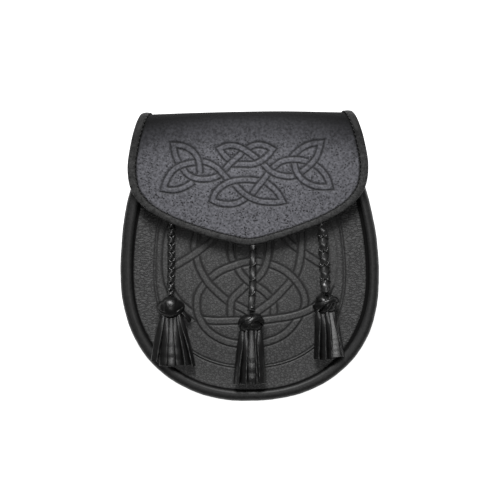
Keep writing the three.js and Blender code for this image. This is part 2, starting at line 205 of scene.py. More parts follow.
# %% Camera
PICTURE_WIDTH = 348 * MM
SENSOR_WIDTH = 36
CAMERA_HEIGHT = 1.6
FOCUS_HEIGHT = 0.024
PICTURE_TURN = 1.0
PICTURE_CENTRE = (0.45 * MM, 4.2 * MM)

camera_data = bpy.data.cameras.new("camera")
camera_data.sensor_width = SENSOR_WIDTH
camera_data.lens = SENSOR_WIDTH * (CAMERA_HEIGHT - FOCUS_HEIGHT) / PICTURE_WIDTH
camera = bpy.data.objects.new("camera", camera_data)
camera.location = (*PICTURE_CENTRE, CAMERA_HEIGHT)
camera.rotation_euler = (0, 0, -math.radians(PICTURE_TURN))
bpy.context.scene.collection.objects.link(camera)
bpy.context.scene.camera = camera
print("lens", round(camera_data.lens, 1), "mm")

# %% [markdown]
# ## Materials
#
# Black leather is never black: dyed and waxed cow hide reflects about three per cent of the light
# from its colour and four per cent from its gloss. What tells one piece from another is the grain
# and how tightly the gloss is gathered. Colours are written as sRGB, as a screen shows them, and one
# function turns them into the linear values that Blender works with.

# %% Helpers for materials
def linear(colour):
    """An sRGB colour such as "#626265" as the linear RGBA that Blender's sockets take."""
    values = [int(colour[i:i + 2], 16) / 255 for i in (1, 3, 5)]
    return [v / 12.92 if v <= 0.04045 else ((v + 0.055) / 1.055) ** 2.4 for v in values] + [1]


def add_node(tree, kind, output, inputs=None, **settings):
    """Adds one node and gives back one of its outputs. An input takes a value or another output."""
    node = tree.nodes.new("ShaderNode" + kind)
    for key, value in settings.items():
        setattr(node, key, value)
    for key, value in (inputs or {}).items():
        if isinstance(value, bpy.types.NodeSocket):
            tree.links.new(value, node.inputs[key])
        else:
            node.inputs[key].default_value = value
    return node.outputs[output]


def start_material(name, values):
    """A material whose only shader has the values that are the same all over the surface."""
    material = bpy.data.materials.new(name)
    material.use_nodes = True
    tree = material.node_tree
    shader = tree.nodes["Principled BSDF"]
    for key, value in values.items():
        shader.inputs[key].default_value = value
    place = add_node(tree, "TexCoord", "Object")
    return material, tree, shader, place


# %% [markdown]
# ### The leathers' grain
#
# Two patterns make every leather here. Hair pores are small pits, about one for each two
# millimetres: the middles of a cell pattern. Pebbles are the cells of such a pattern, and the lines
# between them are its creases. A noise pushes both about, so that none is straight. Real pores are
# about 0.2 mm wide, too fine for this picture, so they are drawn about five times coarser.

# %% Grain
# A wander is a noise's size and a shift how far it pushes, in mm. A crease is a share of its pebble
PORE_WANDER, PORE_SHIFT = 2.2, 1.3
PEBBLE_WANDER, PEBBLE_SHIFT, CREASE_SHARE = 1.6, 1.7, 0.2


def hair_pores(tree, place, spacing, radius):
    """1 in a pore and 0 outside it. Both sizes are in millimetres."""
    wander = add_node(tree, "TexNoise", "Color", {"Vector": place, "Scale": 1 / (PORE_WANDER * MM)})
    inputs = {0: wander, 1: [PORE_SHIFT * MM] * 3, 2: place}
    moved = add_node(tree, "VectorMath", "Vector", inputs, operation="MULTIPLY_ADD")
    middle = add_node(tree, "TexVoronoi", "Distance", {"Vector": moved, "Scale": 1 / (spacing * MM)})
    inner, outer = 0.3 * radius / spacing, 1.3 * radius / spacing
    inputs = {"Value": middle, "From Min": inner, "From Max": outer, "To Min": 1.0, "To Max": 0.0}
    return add_node(tree, "MapRange", "Result", inputs, interpolation_type="SMOOTHSTEP")


def pebbles(tree, place, size, stretch):
    """How far inside its pebble a place is: 0 in a crease, 1 on top. Stretch draws them out along X."""
    drawn_out = add_node(tree, "Mapping", "Vector", {"Vector": place, "Scale": [1 / stretch, 1, 1]})
    inputs = {"Vector": place, "Scale": 1 / (PEBBLE_WANDER * MM), "Detail": 1.0}
    wander = add_node(tree, "TexNoise", "Color", inputs)
    inputs = {0: wander, 1: [PEBBLE_SHIFT * MM] * 3, 2: drawn_out}
    moved = add_node(tree, "VectorMath", "Vector", inputs, operation="MULTIPLY_ADD")
    inputs = {"Vector": moved, "Scale": 1 / (size * MM)}
    inside = add_node(tree, "TexVoronoi", "Distance", inputs, feature="DISTANCE_TO_EDGE")
    inputs = {"Value": inside, "From Max": CREASE_SHARE}
    return add_node(tree, "MapRange", "Result", inputs, interpolation_type="SMOOTHSTEP")


# %% [markdown]
# ### The leathers, the thread and the metal
#
# The flap is smooth cow hide with open pores. Its colour holds painted light: a painted shade keeps
# the fold nearly black, and a lighter painted sheen lies low on the flap. The front panel is pebbled:
# small plates of skin between creases, drawn out sideways near the edges, where the panel was pulled
# over its seam. The rolled edges are thin leather, pulled tight. The tassels and thongs are lace
# leather, waxed for gloss, with the grain showing as a fine roughness in each highlight.
#
# Each mesh says at its points how much of a finish it has there, and an attribute node reads that:
# one attribute is painted shade in tooled lines, in seams, below the flap's edge and on the binding
# over the fold; another is how much of the flap's lit tone shows against the painted shade of the
# fold; pulled is the stretch near an edge, and pressed how flat the plate made the grain.

# %% The flap's leather
def flap_leather():
    """Smooth cow hide, with a painted shade darkest on the fold and a painted sheen low down."""
    values = {"IOR": 1.5, "Specular IOR Level": 0.16}
    material, tree, shader, place = start_material("smooth cow hide", values)
    handled, groove, pressed = [
        add_node(tree, "Attribute", "Fac", attribute_name=key)
        for key in ("handled", "groove", "pressed")
    ]
    patches = add_node(tree, "TexNoise", "Fac", {"Vector": place, "Scale": 1 / (6 * MM), "Detail": 3.0})
    fine = add_node(tree, "TexNoise", "Fac", {"Vector": place, "Scale": 1 / (1.7 * MM), "Detail": 2.0})
    inputs = {0: hair_pores(tree, place, 2.2, 0.74), 1: hair_pores(tree, place, 1.6, 0.5)}
    pits = add_node(tree, "Math", "Value", inputs, operation="MAXIMUM")
    # Pores show in patches, most where the painted light is strongest, and not where the plate pressed
    # it
    inputs = {"Value": patches, "From Min": 0.36, "From Max": 0.6, "To Min": 0.45, "To Max": 1.0}
    patches = add_node(tree, "MapRange", "Result", inputs, interpolation_type="SMOOTHSTEP")
    for share in (patches, handled):
        pits = add_node(tree, "Math", "Value", {0: pits, 1: share}, operation="MULTIPLY")
    pits = add_node(tree, "Mix", 0, {0: pressed, 2: pits, 3: 0.0})
    # The lit tone: the leather's cool grey mottling, made lighter as a painted sheen
    tone_and_sheen = add_node(tree, "MapRange", "Result", {"Value": fine, "From Min": 0.32, "From Max": 0.68})
    inputs = {0: tone_and_sheen, 6: linear("#4a4a4e"), 7: linear("#707076")}
    tone_and_sheen = add_node(tree, "Mix", 2, inputs, data_type="RGBA")
    # The painted light share mixes the nearly black painted shade of the fold with the lit tone
    inputs = {0: handled, 6: linear("#0d0d0e"), 7: tone_and_sheen}
    shade = add_node(tree, "Mix", 2, inputs, data_type="RGBA")
    # Pores darken the colour, and painted shade darkens the tooled lines and the leather beside the
    # binding
    for share, dark in ((pits, "#161617"), (groove, "#0a0a0a")):
        shade = add_node(tree, "Mix", 2, {0: share, 6: shade, 7: linear(dark)}, data_type="RGBA")
    tree.links.new(shade, shader.inputs["Base Color"])
    rough = add_node(tree, "MapRange", "Result", {"Value": handled, "To Min": 0.92, "To Max": 0.55})
    tree.links.new(rough, shader.inputs["Roughness"])
    low = add_node(tree, "Math", "Value", {0: fine, 1: 0.5}, operation="MULTIPLY")
    height = add_node(tree, "Math", "Value", {0: pits, 1: -1.0, 2: low}, operation="MULTIPLY_ADD")
    normal = add_node(tree, "Bump", "Normal", {"Height": height, "Distance": 0.2 * MM, "Strength": 1.0})
    tree.links.new(normal, shader.inputs["Normal"])
    return material


# %% The front panel's leather
def pebbled_leather():
    """Cow hide, tumbled until its face breaks into small plates between dark creases."""
    values = {"IOR": 1.5, "Specular IOR Level": 0.35, "Roughness": 0.52}
    material, tree, shader, place = start_material("pebbled cow hide", values)
    groove, pulled, pressed = [
        add_node(tree, "Attribute", "Fac", attribute_name=key)
        for key in ("groove", "pulled", "pressed")
    ]
    inputs = {0: pulled, 2: pebbles(tree, place, 1.6, 1.5), 3: pebbles(tree, place, 1.65, 2.7)}
    top = add_node(tree, "Mix", 0, inputs)
    top = add_node(tree, "Mix", 0, {0: pressed, 2: top, 3: 1.0})
    plates = add_node(tree, "TexNoise", "Fac", {"Vector": place, "Scale": 1 / (1.5 * MM), "Detail": 2.0})
    shade = add_node(tree, "MapRange", "Result", {"Value": plates, "From Min": 0.32, "From Max": 0.68})
    inputs = {0: shade, 6: linear("#383838"), 7: linear("#505050")}
    shade = add_node(tree, "Mix", 2, inputs, data_type="RGBA")
    shade = add_node(tree, "Mix", 2, {0: top, 6: linear("#2c2c2c"), 7: shade}, data_type="RGBA")
    # Painted shade in the tooled lines, in the seam beside the piping, and as a shadow below the flap's
    # edge
    shade = add_node(tree, "Mix", 2, {0: groove, 6: shade, 7: linear("#070707")}, data_type="RGBA")
    tree.links.new(shade, shader.inputs["Base Color"])
    height = add_node(tree, "Math", "Value", {0: plates, 1: 0.8, 2: top}, operation="MULTIPLY_ADD")
    deeper = add_node(tree, "Math", "Value", {0: pulled, 1: 1.3, 2: 1.0}, operation="MULTIPLY_ADD")
    height = add_node(tree, "Math", "Value", {0: height, 1: deeper}, operation="MULTIPLY")
    normal = add_node(tree, "Bump", "Normal", {"Height": height, "Distance": 0.09 * MM, "Strength": 1.0})
    tree.links.new(normal, shader.inputs["Normal"])
    return material


# %% Edge, gusset and lace leathers
def skived_leather(name, dark, light, values, grain, wrinkle):
    """Leather pared thin and dyed: grain is its fine roughness and wrinkle its creases, both in mm."""
    material, tree, shader, place = start_material(name, {"IOR": 1.5, **values})
    fine, waves = [
        add_node(tree, "TexNoise", "Fac", {"Vector": place, "Scale": 1 / (size * MM), "Detail": 3.0})
        for size in (1.2, 3.2)
    ]
    groove = add_node(tree, "Attribute", "Fac", attribute_name="groove")
    mottling = add_node(tree, "Mix", 2, {0: 0.6, 6: waves, 7: fine}, data_type="RGBA")
    inputs = {"Value": mottling, "From Min": 0.38, "From Max": 0.62}
    mottling = add_node(tree, "MapRange", "Result", inputs)
    inputs = {0: mottling, 6: linear(dark), 7: linear(light)}
    shade = add_node(tree, "Mix", 2, inputs, data_type="RGBA")
    # Painted shade where a mesh asks for it: the piping's seam and outer side, and the binding over the
    # fold
    shade = add_node(tree, "Mix", 2, {0: groove, 6: shade, 7: linear("#050505")}, data_type="RGBA")
    tree.links.new(shade, shader.inputs["Base Color"])
    low = add_node(tree, "Bump", "Normal", {"Height": waves, "Distance": wrinkle * MM, "Strength": 1.0})
    inputs = {"Height": fine, "Distance": grain * MM, "Strength": 1.0, "Normal": low}
    tree.links.new(add_node(tree, "Bump", "Normal", inputs), shader.inputs["Normal"])
    return material


# %% Thread, painted seam shade and metal
# The thread is black linen drawn through beeswax, darker than the leather that it sinks into. The
# piping's seam takes a painted shade: a nearly black matt finish, so the seam stays dark from every
# side. The snap is nickel-plated brass, polished and then dulled by wear: a pale, slightly warm mirror
def mottled(name, values, size, dark, light):
    """A finish of two close colours in spots of one size, in millimetres."""
    material, tree, shader, place = start_material(name, values)
    spots = add_node(tree, "TexNoise", "Fac", {"Vector": place, "Scale": 1 / (size * MM)})
    inputs = {0: spots, 6: linear(dark), 7: linear(light)}
    shade = add_node(tree, "Mix", 2, inputs, data_type="RGBA")
    tree.links.new(shade, shader.inputs["Base Color"])
    return material, tree, shader, spots


def nickel():
    material, tree, shader, wear = mottled("nickel plate", {"Metallic": 1.0}, 1, "#b4b0a8", "#c8c4bc")
    inputs = {"Value": wear, "From Min": 0.3, "From Max": 0.7, "To Min": 0.22, "To Max": 0.4}
    tree.links.new(add_node(tree, "MapRange", "Result", inputs), shader.inputs["Roughness"])
    return material


# %% The finishes of the pouch
LEATHER_FLAP = flap_leather()
LEATHER_FRONT = pebbled_leather()
LEATHER_EDGE = skived_leather(
    "rolled edge leather", "#151515", "#222222", {"Roughness": 0.5, "Specular IOR Level": 0.36},
    grain=0.05, wrinkle=0.12,
)
LEATHER_BINDING = skived_leather(
    "binding leather", "#202020", "#404040", {"Roughness": 0.6, "Specular IOR Level": 0.18},
    grain=0.14, wrinkle=0.2,
)
LEATHER_GUSSET = skived_leather(
    "gusset leather", "#161616", "#222222", {"Roughness": 0.6, "Specular IOR Level": 0.3},
    grain=0.1, wrinkle=0.4,
)
LEATHER_THONG = skived_leather(
    "lace leather", "#0d0d0d", "#1e1e1e",
    {"Roughness": 0.34, "Coat Weight": 0.6, "Coat Roughness": 0.26}, grain=0.06, wrinkle=0.1,
)
LEATHER_TASSEL = skived_leather(
    "tassel leather", "#050505", "#111111",
    {"Roughness": 0.33, "Coat Weight": 0.3, "Coat Roughness": 0.26}, grain=0.16, wrinkle=0.12,
)
LEATHER_KNOT = skived_leather(
    "knotted leather", "#040404", "#0c0c0c",
    {"Roughness": 0.37, "Specular IOR Level": 0.32, "Coat Weight": 0.16, "Coat Roughness": 0.22},
    grain=0.14, wrinkle=0.3,
)
values = {"IOR": 1.5, "Roughness": 0.5, "Specular IOR Level": 0.3}
THREAD = mottled("waxed linen thread", values, 0.3, "#060606", "#141414")[0]
# The piping's seam: a nearly black, matt painted shade
values = {"IOR": 1.5, "Roughness": 0.9, "Specular IOR Level": 0.05}
SEAM_SHADE = mottled("painted seam shade", values, 0.5, "#0a0a0a", "#161616")[0]
METAL_STUD = nickel()
print(len(bpy.data.materials), "materials")

# %% [markdown]
# ## The pouch's outline and the places of its leathers
#
# The outline seen from the front is a straight taper, a side arc and a squarish rounded bottom.
# Heights come from how far a point lies inside that outline, which domes the front and dishes the
# back. The numbers start from those of the plain solids, and the outline and the fold were then
# moved by up to a millimetre to meet the photograph's edge.

# %% Outline
HALF_WIDTH, WIDEST_Y, BOTTOM_DEPTH, BOTTOM_POWER = 90.2, -12.5, 88.6, 2.2
SIDE_RADIUS, SHOULDER_Y, MOUTH_Y, MOUTH_HALF = 213, 46, 81, 71.8
GAP = 0.3


def outline_half(y):
    """Half the pouch's width at a height."""
    y = np.asarray(y, float)
    rise = np.clip(y, WIDEST_Y, SHOULDER_Y) - WIDEST_Y
    side = HALF_WIDTH - SIDE_RADIUS + np.sqrt(SIDE_RADIUS**2 - rise**2)
    taper = mix(side, MOUTH_HALF, np.clip((y - SHOULDER_Y) / (MOUTH_Y - SHOULDER_Y), 0, None))
    depth = np.clip((WIDEST_Y - y) / BOTTOM_DEPTH, 0, 1)
    bottom = HALF_WIDTH * (1 - depth**BOTTOM_POWER) ** (1 / BOTTOM_POWER)
    return np.where(y >= WIDEST_Y, taper, bottom)


def inset_of(x, y):
    """About how far a point lies inside the outline."""
    down = np.clip((WIDEST_Y - y) / BOTTOM_DEPTH, 0, None)
    reach = ((np.abs(x) / HALF_WIDTH) ** BOTTOM_POWER + down**BOTTOM_POWER) ** (1 / BOTTOM_POWER)
    return np.where(y >= WIDEST_Y, outline_half(y) - np.abs(x), HALF_WIDTH * (1 - reach))


def outline_line(count):
    """The outline from the mouth's right end to its left end, and inward directions."""
    side_y = np.linspace(MOUTH_Y, WIDEST_Y, 400)
    angle = np.linspace(0, math.pi / 2, 500)[1:]
    low_x = HALF_WIDTH * np.cos(angle) ** (2 / BOTTOM_POWER)
    low_y = WIDEST_Y - BOTTOM_DEPTH * np.sin(angle) ** (2 / BOTTOM_POWER)
    side = np.stack([outline_half(side_y), side_y], 1)
    right = np.concatenate([side, np.stack([low_x, low_y], 1)])
    left = right[::-1][1:] * [-1, 1]
    line, along = resample(np.concatenate([right, left]), count)
    return line, np.stack([along[:, 1], -along[:, 0]], 1)


width, height = 2 * HALF_WIDTH, MOUTH_Y - WIDEST_Y + BOTTOM_DEPTH
print("pouch", round(width, 1), "mm wide and", round(height, 1), "mm from its mouth to its bottom")

# %% Heights of the panels
FRONT_SEAM_Z, FRONT_DOME, MOUTH_FLATTENING = 24.3, 3.7, 0.6
EDGE_PROUD, BACK_DISH = 1.3, 5.4
FOLD_RADIUS = 16
FOLD_Z = FOLD_RADIUS + EDGE_PROUD
FOLD_Y = 101.4 - FOLD_Z
FOLD_BOW, FOLD_BOW_HALF, FOLD_SAG = 0.9, 68, 0.8
FLAP_RISE, FLAP_DROOP, FLAP_CROWN_HALF, FLAP_RISE_END_Y = 2.8, 3, 80, 40
PIPING_TOP = 27


def front_z(x, y):
    """Height of the front panel's outer face."""
    fullness = 1 - MOUTH_FLATTENING * ease(y, 30, MOUTH_Y)
    return FRONT_SEAM_Z + FRONT_DOME * fullness * ease(inset_of(x, y), 9.5, 60)


def back_z(x, y):
    """Height of the back's outer face, which looks down."""
    return EDGE_PROUD + BACK_DISH * (1 - ease(y, 72, FOLD_Y)) * ease(inset_of(x, y), 9, 17)


def rest_z(x, y):
    """Height that something laid on the pouch's front rests at."""
    return mix(PIPING_TOP, front_z(x, y), ease(inset_of(x, y), 12, 17)) + GAP


def flap_z(x, y):
    """Height of the flap's outer face on the front: crowned in the middle, lower at its sides."""
    settled = 1 - ease(y, FLAP_RISE_END_Y, FOLD_Y)
    return FOLD_Z + FOLD_RADIUS + settled * (FLAP_RISE - FLAP_DROOP * (x / FLAP_CROWN_HALF) ** 2)


# %% The back and flap laid out flat
# x runs across and v along the leather, from the lowest edge of the back to the flap's tip
BACK_EDGE_INSET = 1.5
BACK_LOW_Y = WIDEST_Y - BOTTOM_DEPTH + BACK_EDGE_INSET
FOLD_START_V = FOLD_Y - BACK_LOW_Y
FOLD_END_V = FOLD_START_V + math.pi * FOLD_RADIUS


def fold_v(degrees):
    return mix(FOLD_START_V, FOLD_END_V, (degrees + 90) / 180)


def front_v(y):
    return FOLD_END_V + FOLD_Y - y


# %% Placing the flat leather
def place_leather(x, v):
    """Where points of the flat leather end up, and which way the outer face looks there."""
    x, v = np.broadcast_arrays(np.asarray(x, float), np.asarray(v, float))
    angle = np.clip((v - FOLD_START_V) / FOLD_RADIUS, 0, math.pi) - math.pi / 2
    bow = FOLD_BOW * np.clip(1 - (x / FOLD_BOW_HALF) ** 2, 0, None) - FOLD_SAG * ease(x, 15, 72)
    fold_y = FOLD_Y + (FOLD_RADIUS + bow) * np.cos(angle)
    fold = np.stack([x, fold_y, FOLD_Z + FOLD_RADIUS * np.sin(angle)], -1)
    fold_normal = np.stack([0 * x, np.cos(angle), np.sin(angle)], -1)
    back_y = BACK_LOW_Y + v
    back = np.stack([x, back_y, back_z(x, back_y)], -1)
    y = FOLD_Y - (v - FOLD_END_V)
    front = np.stack([x, y, flap_z(x, y)], -1)
    slope_x = flap_z(x + 0.5, y) - flap_z(x - 0.5, y)
    slope_y = flap_z(x, y + 0.5) - flap_z(x, y - 0.5)
    front_normal = unit(np.stack([-slope_x, -slope_y, 1 + 0 * x], -1))
    on_back = (v < FOLD_START_V)[..., None]
    on_front = (v >= FOLD_END_V)[..., None]
    point = np.where(on_back, back, np.where(on_front, front, fold))
    normal = np.where(on_back, [0.0, 0.0, -1.0], np.where(on_front, front_normal, fold_normal))
    return point, normal


# %% The leather's edge
# Half the leather's width on the fold, by degrees round it, and then down the flap, by y
FOLD_HALVES = {-60: 70.4, 0: 73, 60: 77.5}
FLAP_HALVES = {79.4: 80.9, 61: 83.5, 46.5: 81, 35.5: 73, 24.8: 56.4, 16: 34.5, 10.2: 15}
FLAP_TIP_V = front_v(7.4)


def back_edge(count):
    """The whole edge as a closed line (x, -v) from the back's lowest point, and inward directions."""
    line, inward = outline_line(2001)
    shares = np.arange(0.46, 0.01, -0.04)
    right = [line[round(s * 2000)] + inward[round(s * 2000)] * BACK_EDGE_INSET for s in shares]
    right = [(x, BACK_LOW_Y - y) for x, y in right]
    right += [(half, -fold_v(degrees)) for degrees, half in FOLD_HALVES.items()]
    right += [(half, -front_v(y)) for y, half in FLAP_HALVES.items()]
    left = [(-x, y) for x, y in reversed(right)]
    curve = curve_through([(0, 0), *right, (0, -FLAP_TIP_V), *left], closed=True, steps=60)
    curve = np.concatenate([curve, curve[:1]])
    line, along = resample(curve, count + 1)
    return line[:-1], np.stack([along[:-1, 1], -along[:-1, 0]], 1)


edge_line, edge_inward = back_edge(1200)
# The binding is narrower along the flap's lower edge, as a share of its width elsewhere
binding_share = mix(1, 0.8, ease(-edge_line[:, 1], front_v(52), front_v(26)))
print("edge runs", round(lengths_along(edge_line)[-1]), "mm round the back and flap")

# %% [markdown]
# ## Braided thongs
#
# The outer tassels hang on round plaits of four laces, two that wind to the left and two to the
# right. On a plait's front one pair lies over the other, at its sides the other way round, and that
# order is what keeps a plait together. The middle thong is two laces twisted together. A tube with a
# bump map would be quicker, but its outline would be smooth, so each lace is a body of its own.

# %% The thongs' routes, in metres
ROUTES = {
    "left": [
        (-0.0535, 0.030, 0.0279), (-0.0537, 0.023, 0.0281), (-0.0540, 0.015, 0.0281),
        (-0.0541, 0.007, 0.0281), (-0.0542, -0.001, 0.0281), (-0.0544, -0.009, 0.0281),
        (-0.0548, -0.016, 0.0284), (-0.0551, -0.022, 0.0295), (-0.0552, -0.0263, 0.0306),
    ],
    "centre": [
        (0.0026, 0.017, 0.0299), (0.0025, 0.011, 0.0301), (0.0024, 0.004, 0.0301),
        (0.0022, -0.004, 0.0301), (0.0020, -0.012, 0.0301), (0.0017, -0.020, 0.0301),
        (0.0012, -0.028, 0.0303), (0.0006, -0.034, 0.0316), (0.0003, -0.038, 0.0328),
    ],
    "right": [
        (0.0510, 0.030, 0.0280), (0.0511, 0.023, 0.0282), (0.0512, 0.015, 0.0282),
        (0.0514, 0.007, 0.0282), (0.0516, -0.001, 0.0282), (0.0519, -0.009, 0.0283),
        (0.0521, -0.016, 0.0286), (0.0522, -0.022, 0.0299), (0.0523, -0.0257, 0.0308),
    ],
}

# %% Laces
def table(columns, *rows):
    """Rows of values as dictionaries, with the columns' names as their keys."""
    return [dict(zip(columns.split(), row)) for row in rows]


# cord: the thong's diameter, all round. over: which way the laces that lie over on the front run
# down it. crossing_y: where two cross. lace: how wide one is. turn: the length in which one winds
# once round. roll: how much of its round it spends turning over, from little, a flat lace folded at
# each side, to 1, a round one
BRAIDS = dict(zip(ROUTES, table(
    "cord width over crossing_y laces lace turn roll",
    (5.3, 5.4, 1, 1.0, 4, 2.3, 11, 0.9),
    (4.4, 5.2, -1, -1.7, 2, 3.8, 20, 0.14),
    (5.4, 6.0, -1, 7.5, 4, 3.9, 20, 0.25),
)))
BRAID_THICKNESS = 3.3
LACE_STEP = 0.28
PLAIT_LACE, TWIST_LACE = 1.25, 1.9
PLAIT_SIDE = 1.5
OVER_LIFT, OVER_SPREAD = 0.42, 0.12


# %% A section carried along a line
def rounded_section(width, thickness, corners=4, softness=0.95):
    """A flat lace's section with round edges, as (across, out) pairs."""
    radius = min(width, thickness) / 2 * softness
    points = []
    for quarter, (x, y) in enumerate([(1, 1), (-1, 1), (-1, -1), (1, -1)]):
        for k in range(corners):
            angle = math.pi / 2 * (quarter + k / (corners - 1))
            points.append((
                x * (width / 2 - radius) + radius * math.cos(angle),
                y * (thickness / 2 - radius) + radius * math.sin(angle),
            ))
    return np.array(points)


def sweep(line, out, section):
    """A section carried along a line: out is the direction its thickness points in at each place."""
    along = unit(np.gradient(line, axis=0))
    out = unit(out - along * np.sum(out * along, -1, keepdims=True))
    across = np.cross(along, out)
    return band(line[:, None] + across[:, None] * section[:, :1] + out[:, None] * section[:, 1:])


# %% Braids
def braid_bodies(route, braid):
    """The laces of one thong. Each winds round the route on a flattened ring."""
    length = lengths_along(route)[-1]
    line, along = resample(route, int(length / LACE_STEP))
    side = unit(np.cross([0.0, 0.0, 1.0], along))
    up = np.cross(along, side)
    plaited = braid["laces"] == 4
    lace = (braid["lace"], PLAIT_LACE if plaited else TWIST_LACE)
    half_side = (braid["width"] - (PLAIT_SIDE if plaited else lace[0])) / 2
    half_up = (BRAID_THICKNESS - lace[1]) / 2
    from_crossing = np.linspace(0, length, len(line)) - (line[0, 1] - braid["crossing_y"])
    turn = from_crossing * 2 * math.pi / braid["turn"]
    bodies = []
    for way in ((1, -1) if plaited else (-braid["over"],)):
        for start in (0, math.pi):
            angle = way * turn + start + math.pi / 2
            order = -way * braid["over"] * -np.cos(2 * angle) if plaited else 0 * angle
            reach = 0.5 * np.cos(angle) + 0.5 * np.cos(angle) ** 3
            lie = side * (half_side * (1 + OVER_SPREAD * order) * reach)[:, None]
            lie = lie + up * ((half_up + OVER_LIFT * order) * np.sin(angle))[:, None]
            out = side * (np.cos(angle) * braid["roll"])[:, None] + up * np.sin(angle)[:, None]
            bodies.append(sweep(line + lie, out, rounded_section(*lace, softness=0.6)))
    return bodies


for name, route in ROUTES.items():
    laces = join_bodies(braid_bodies(curve_through(np.array(route) / MM), BRAIDS[name]))
    add_piece(
        f"braid_{name}", laces, LEATHER_THONG, [f"thong_{name}"]
    )

# %% [markdown]
# ## Tassels
#
# A tassel is a length of leather cut into strips and knotted on the thong. The left knot has turned
# so that the broad of its strap shows, a smooth ball between two dark ears. The other two show the
# strap crossing itself. Below the knot each strip hangs its own way: some lie flat and catch the
# light, some stand on edge, and those that face away are nearly black.

# %% Tassels
# A strap goes round the knot: heading is the way it crosses the front, lean how far it leans over,
# both in degrees, and rise how far out it lies. A strip hangs from top to foot, two places across
# the tassel. Tilt is the way its face turns, in degrees, and layer how high it lies: 2 is on top
KNOT_RADII = np.array([8.2, 6.0, 5.6])
KNOT_CORE_INSET = 0.6
STRIP_LEATHER, STRIP_LAYER, STRIP_CLEARANCE = 1.5, 1.3, 0.4
STRIP_RIPPLE, RIPPLE_TURN = 0.1, 0.85
STRIP_NECK = 0.66
FLAT_CROWN, CURLED_CROWN = 0.03, 0.25
STRAP = "heading lean width rise"
STRIP = "top foot length tilt layer width"
TASSELS = {
    "left": {
        "x": -55.2, "y": -34.5,
        "straps": table(
            STRAP, (90, 0, 12.4, 1.1), (6, 6, 10.4, 0.7), (2, -44, 3.2, 1.1),
        ),
        "strips": table(
            STRIP,
            (-4.4, -12.1, 37.6, -26, 1, 5.4), (-2.6, -5.9, 40.6, -16, 0, 6.0),
            (0.2, -0.2, 41.2, 2, 1, 6.0), (2.4, 5.6, 40.7, 17, 0, 5.8),
            (4.2, 11.4, 40.4, 38, 1, 6.0), (4.9, 15.2, 41.2, 62, 0, 4.6),
            (7.0, 13.4, 9.6, 40, 0, 3.4),
        ),
    },
    "centre": {
        "x": 0.3, "y": -46.2,
        "straps": table(
            STRAP, (38, 12, 4.6, 1.0), (-32, -10, 5.4, 0.2), (5, 35, 4.4, 0.5),
        ),
        "strips": table(
            STRIP,
            (-5.6, -11.1, 42.4, -48, 0, 5.6), (-3.6, -6.2, 42.6, -26, 1, 5.8),
            (0.2, 0.2, 42.6, 1, 1, 6.6), (3.4, 4.4, 42.5, 60, 0, 4.6),
            (5.4, 7.2, 42.4, 34, 0, 5.6),
        ),
    },
    "right": {
        "x": 52.3, "y": -33.9,
        "straps": table(
            STRAP, (20, 8, 3.8, 1.0), (-48, 0, 5.6, 0.3), (62, -18, 4.4, 0.6),
        ),
        "strips": table(
            STRIP,
            (-5.0, -7.0, 38.4, -52, 0, 5.8), (-2.4, -2.4, 39.2, -30, 1, 5.8),
            (0.6, 2.0, 38.8, -30, 0, 5.4), (3.2, 7.2, 37.3, 0, 2, 7.2),
            (5.0, 11.2, 36.8, 70, 0, 4.2),
        ),
    },
}


# %% Knots
def knot_core(centre):
    """The ball inside the knot, a closed lathe of the three radii."""
    rise = np.linspace(-math.pi / 2, math.pi / 2, 18)[1:-1]
    round_ = np.linspace(0, 2 * math.pi, 28, endpoint=False)
    unit_rings = np.stack([
        np.cos(rise)[:, None] * np.cos(round_), np.cos(rise)[:, None] * np.sin(round_),
        np.repeat(np.sin(rise)[:, None], len(round_), 1),
    ], -1)
    return band(centre + unit_rings * (KNOT_RADII - KNOT_CORE_INSET))


# A strap's section: shares of its half-width and heights
STRAP_SECTION = [
    (-1, 0), (-0.97, 0.55), (-0.8, 0.95), (-0.4, 1.15), (0, 1.25), (0.4, 1.15), (0.8, 0.95),
    (0.97, 0.55), (1, 0), (0.5, -0.5), (-0.5, -0.5),
]
STRAP_SPREAD = 1.7


def strap_ring(centre, strap):
    """A strap pulled tight round the knot."""
    heading, lean = math.radians(strap["heading"]), math.radians(strap["lean"])
    forward = np.array([math.cos(heading), math.sin(heading), 0])
    aside = np.array([-math.sin(heading), math.cos(heading), 0])
    outward = np.array([0, 0, 1]) * math.cos(lean) + aside * math.sin(lean)
    turn = np.linspace(0, 2 * math.pi, 48, endpoint=False)[:, None]
    ray = np.cos(turn) * forward + np.sin(turn) * outward
    across = unit(np.cross(forward, outward))
    half = strap["width"] / 2
    rings = []
    for offset, lift in STRAP_SECTION:
        spot = ray * np.linalg.norm(KNOT_RADII) + across * offset * half * STRAP_SPREAD
        surface = unit(spot / KNOT_RADII) * KNOT_RADII
        lift = lift + strap["rise"] - KNOT_CORE_INSET
        rings.append(centre + surface + unit(surface / KNOT_RADII**2) * lift)
    return band(np.stack(rings, 1), loop=True)


# %% Strips
# A strip leaves the knot below its middle and bows a little sideways. It bends down after a quarter
# of its length, and only the long strips ripple
STRIP_START_Y, STRIP_START_Z = 3, 0.8
STRIP_BOW = 0.1
TILTED_BY, WIDE_BY = 0.55, 0.5
FALL_FROM, FALL_POWER = 0.25, 1.7
RIPPLE_FROM_TO, RIPPLE_LENGTHS = (0.35, 0.7), (10, 30)


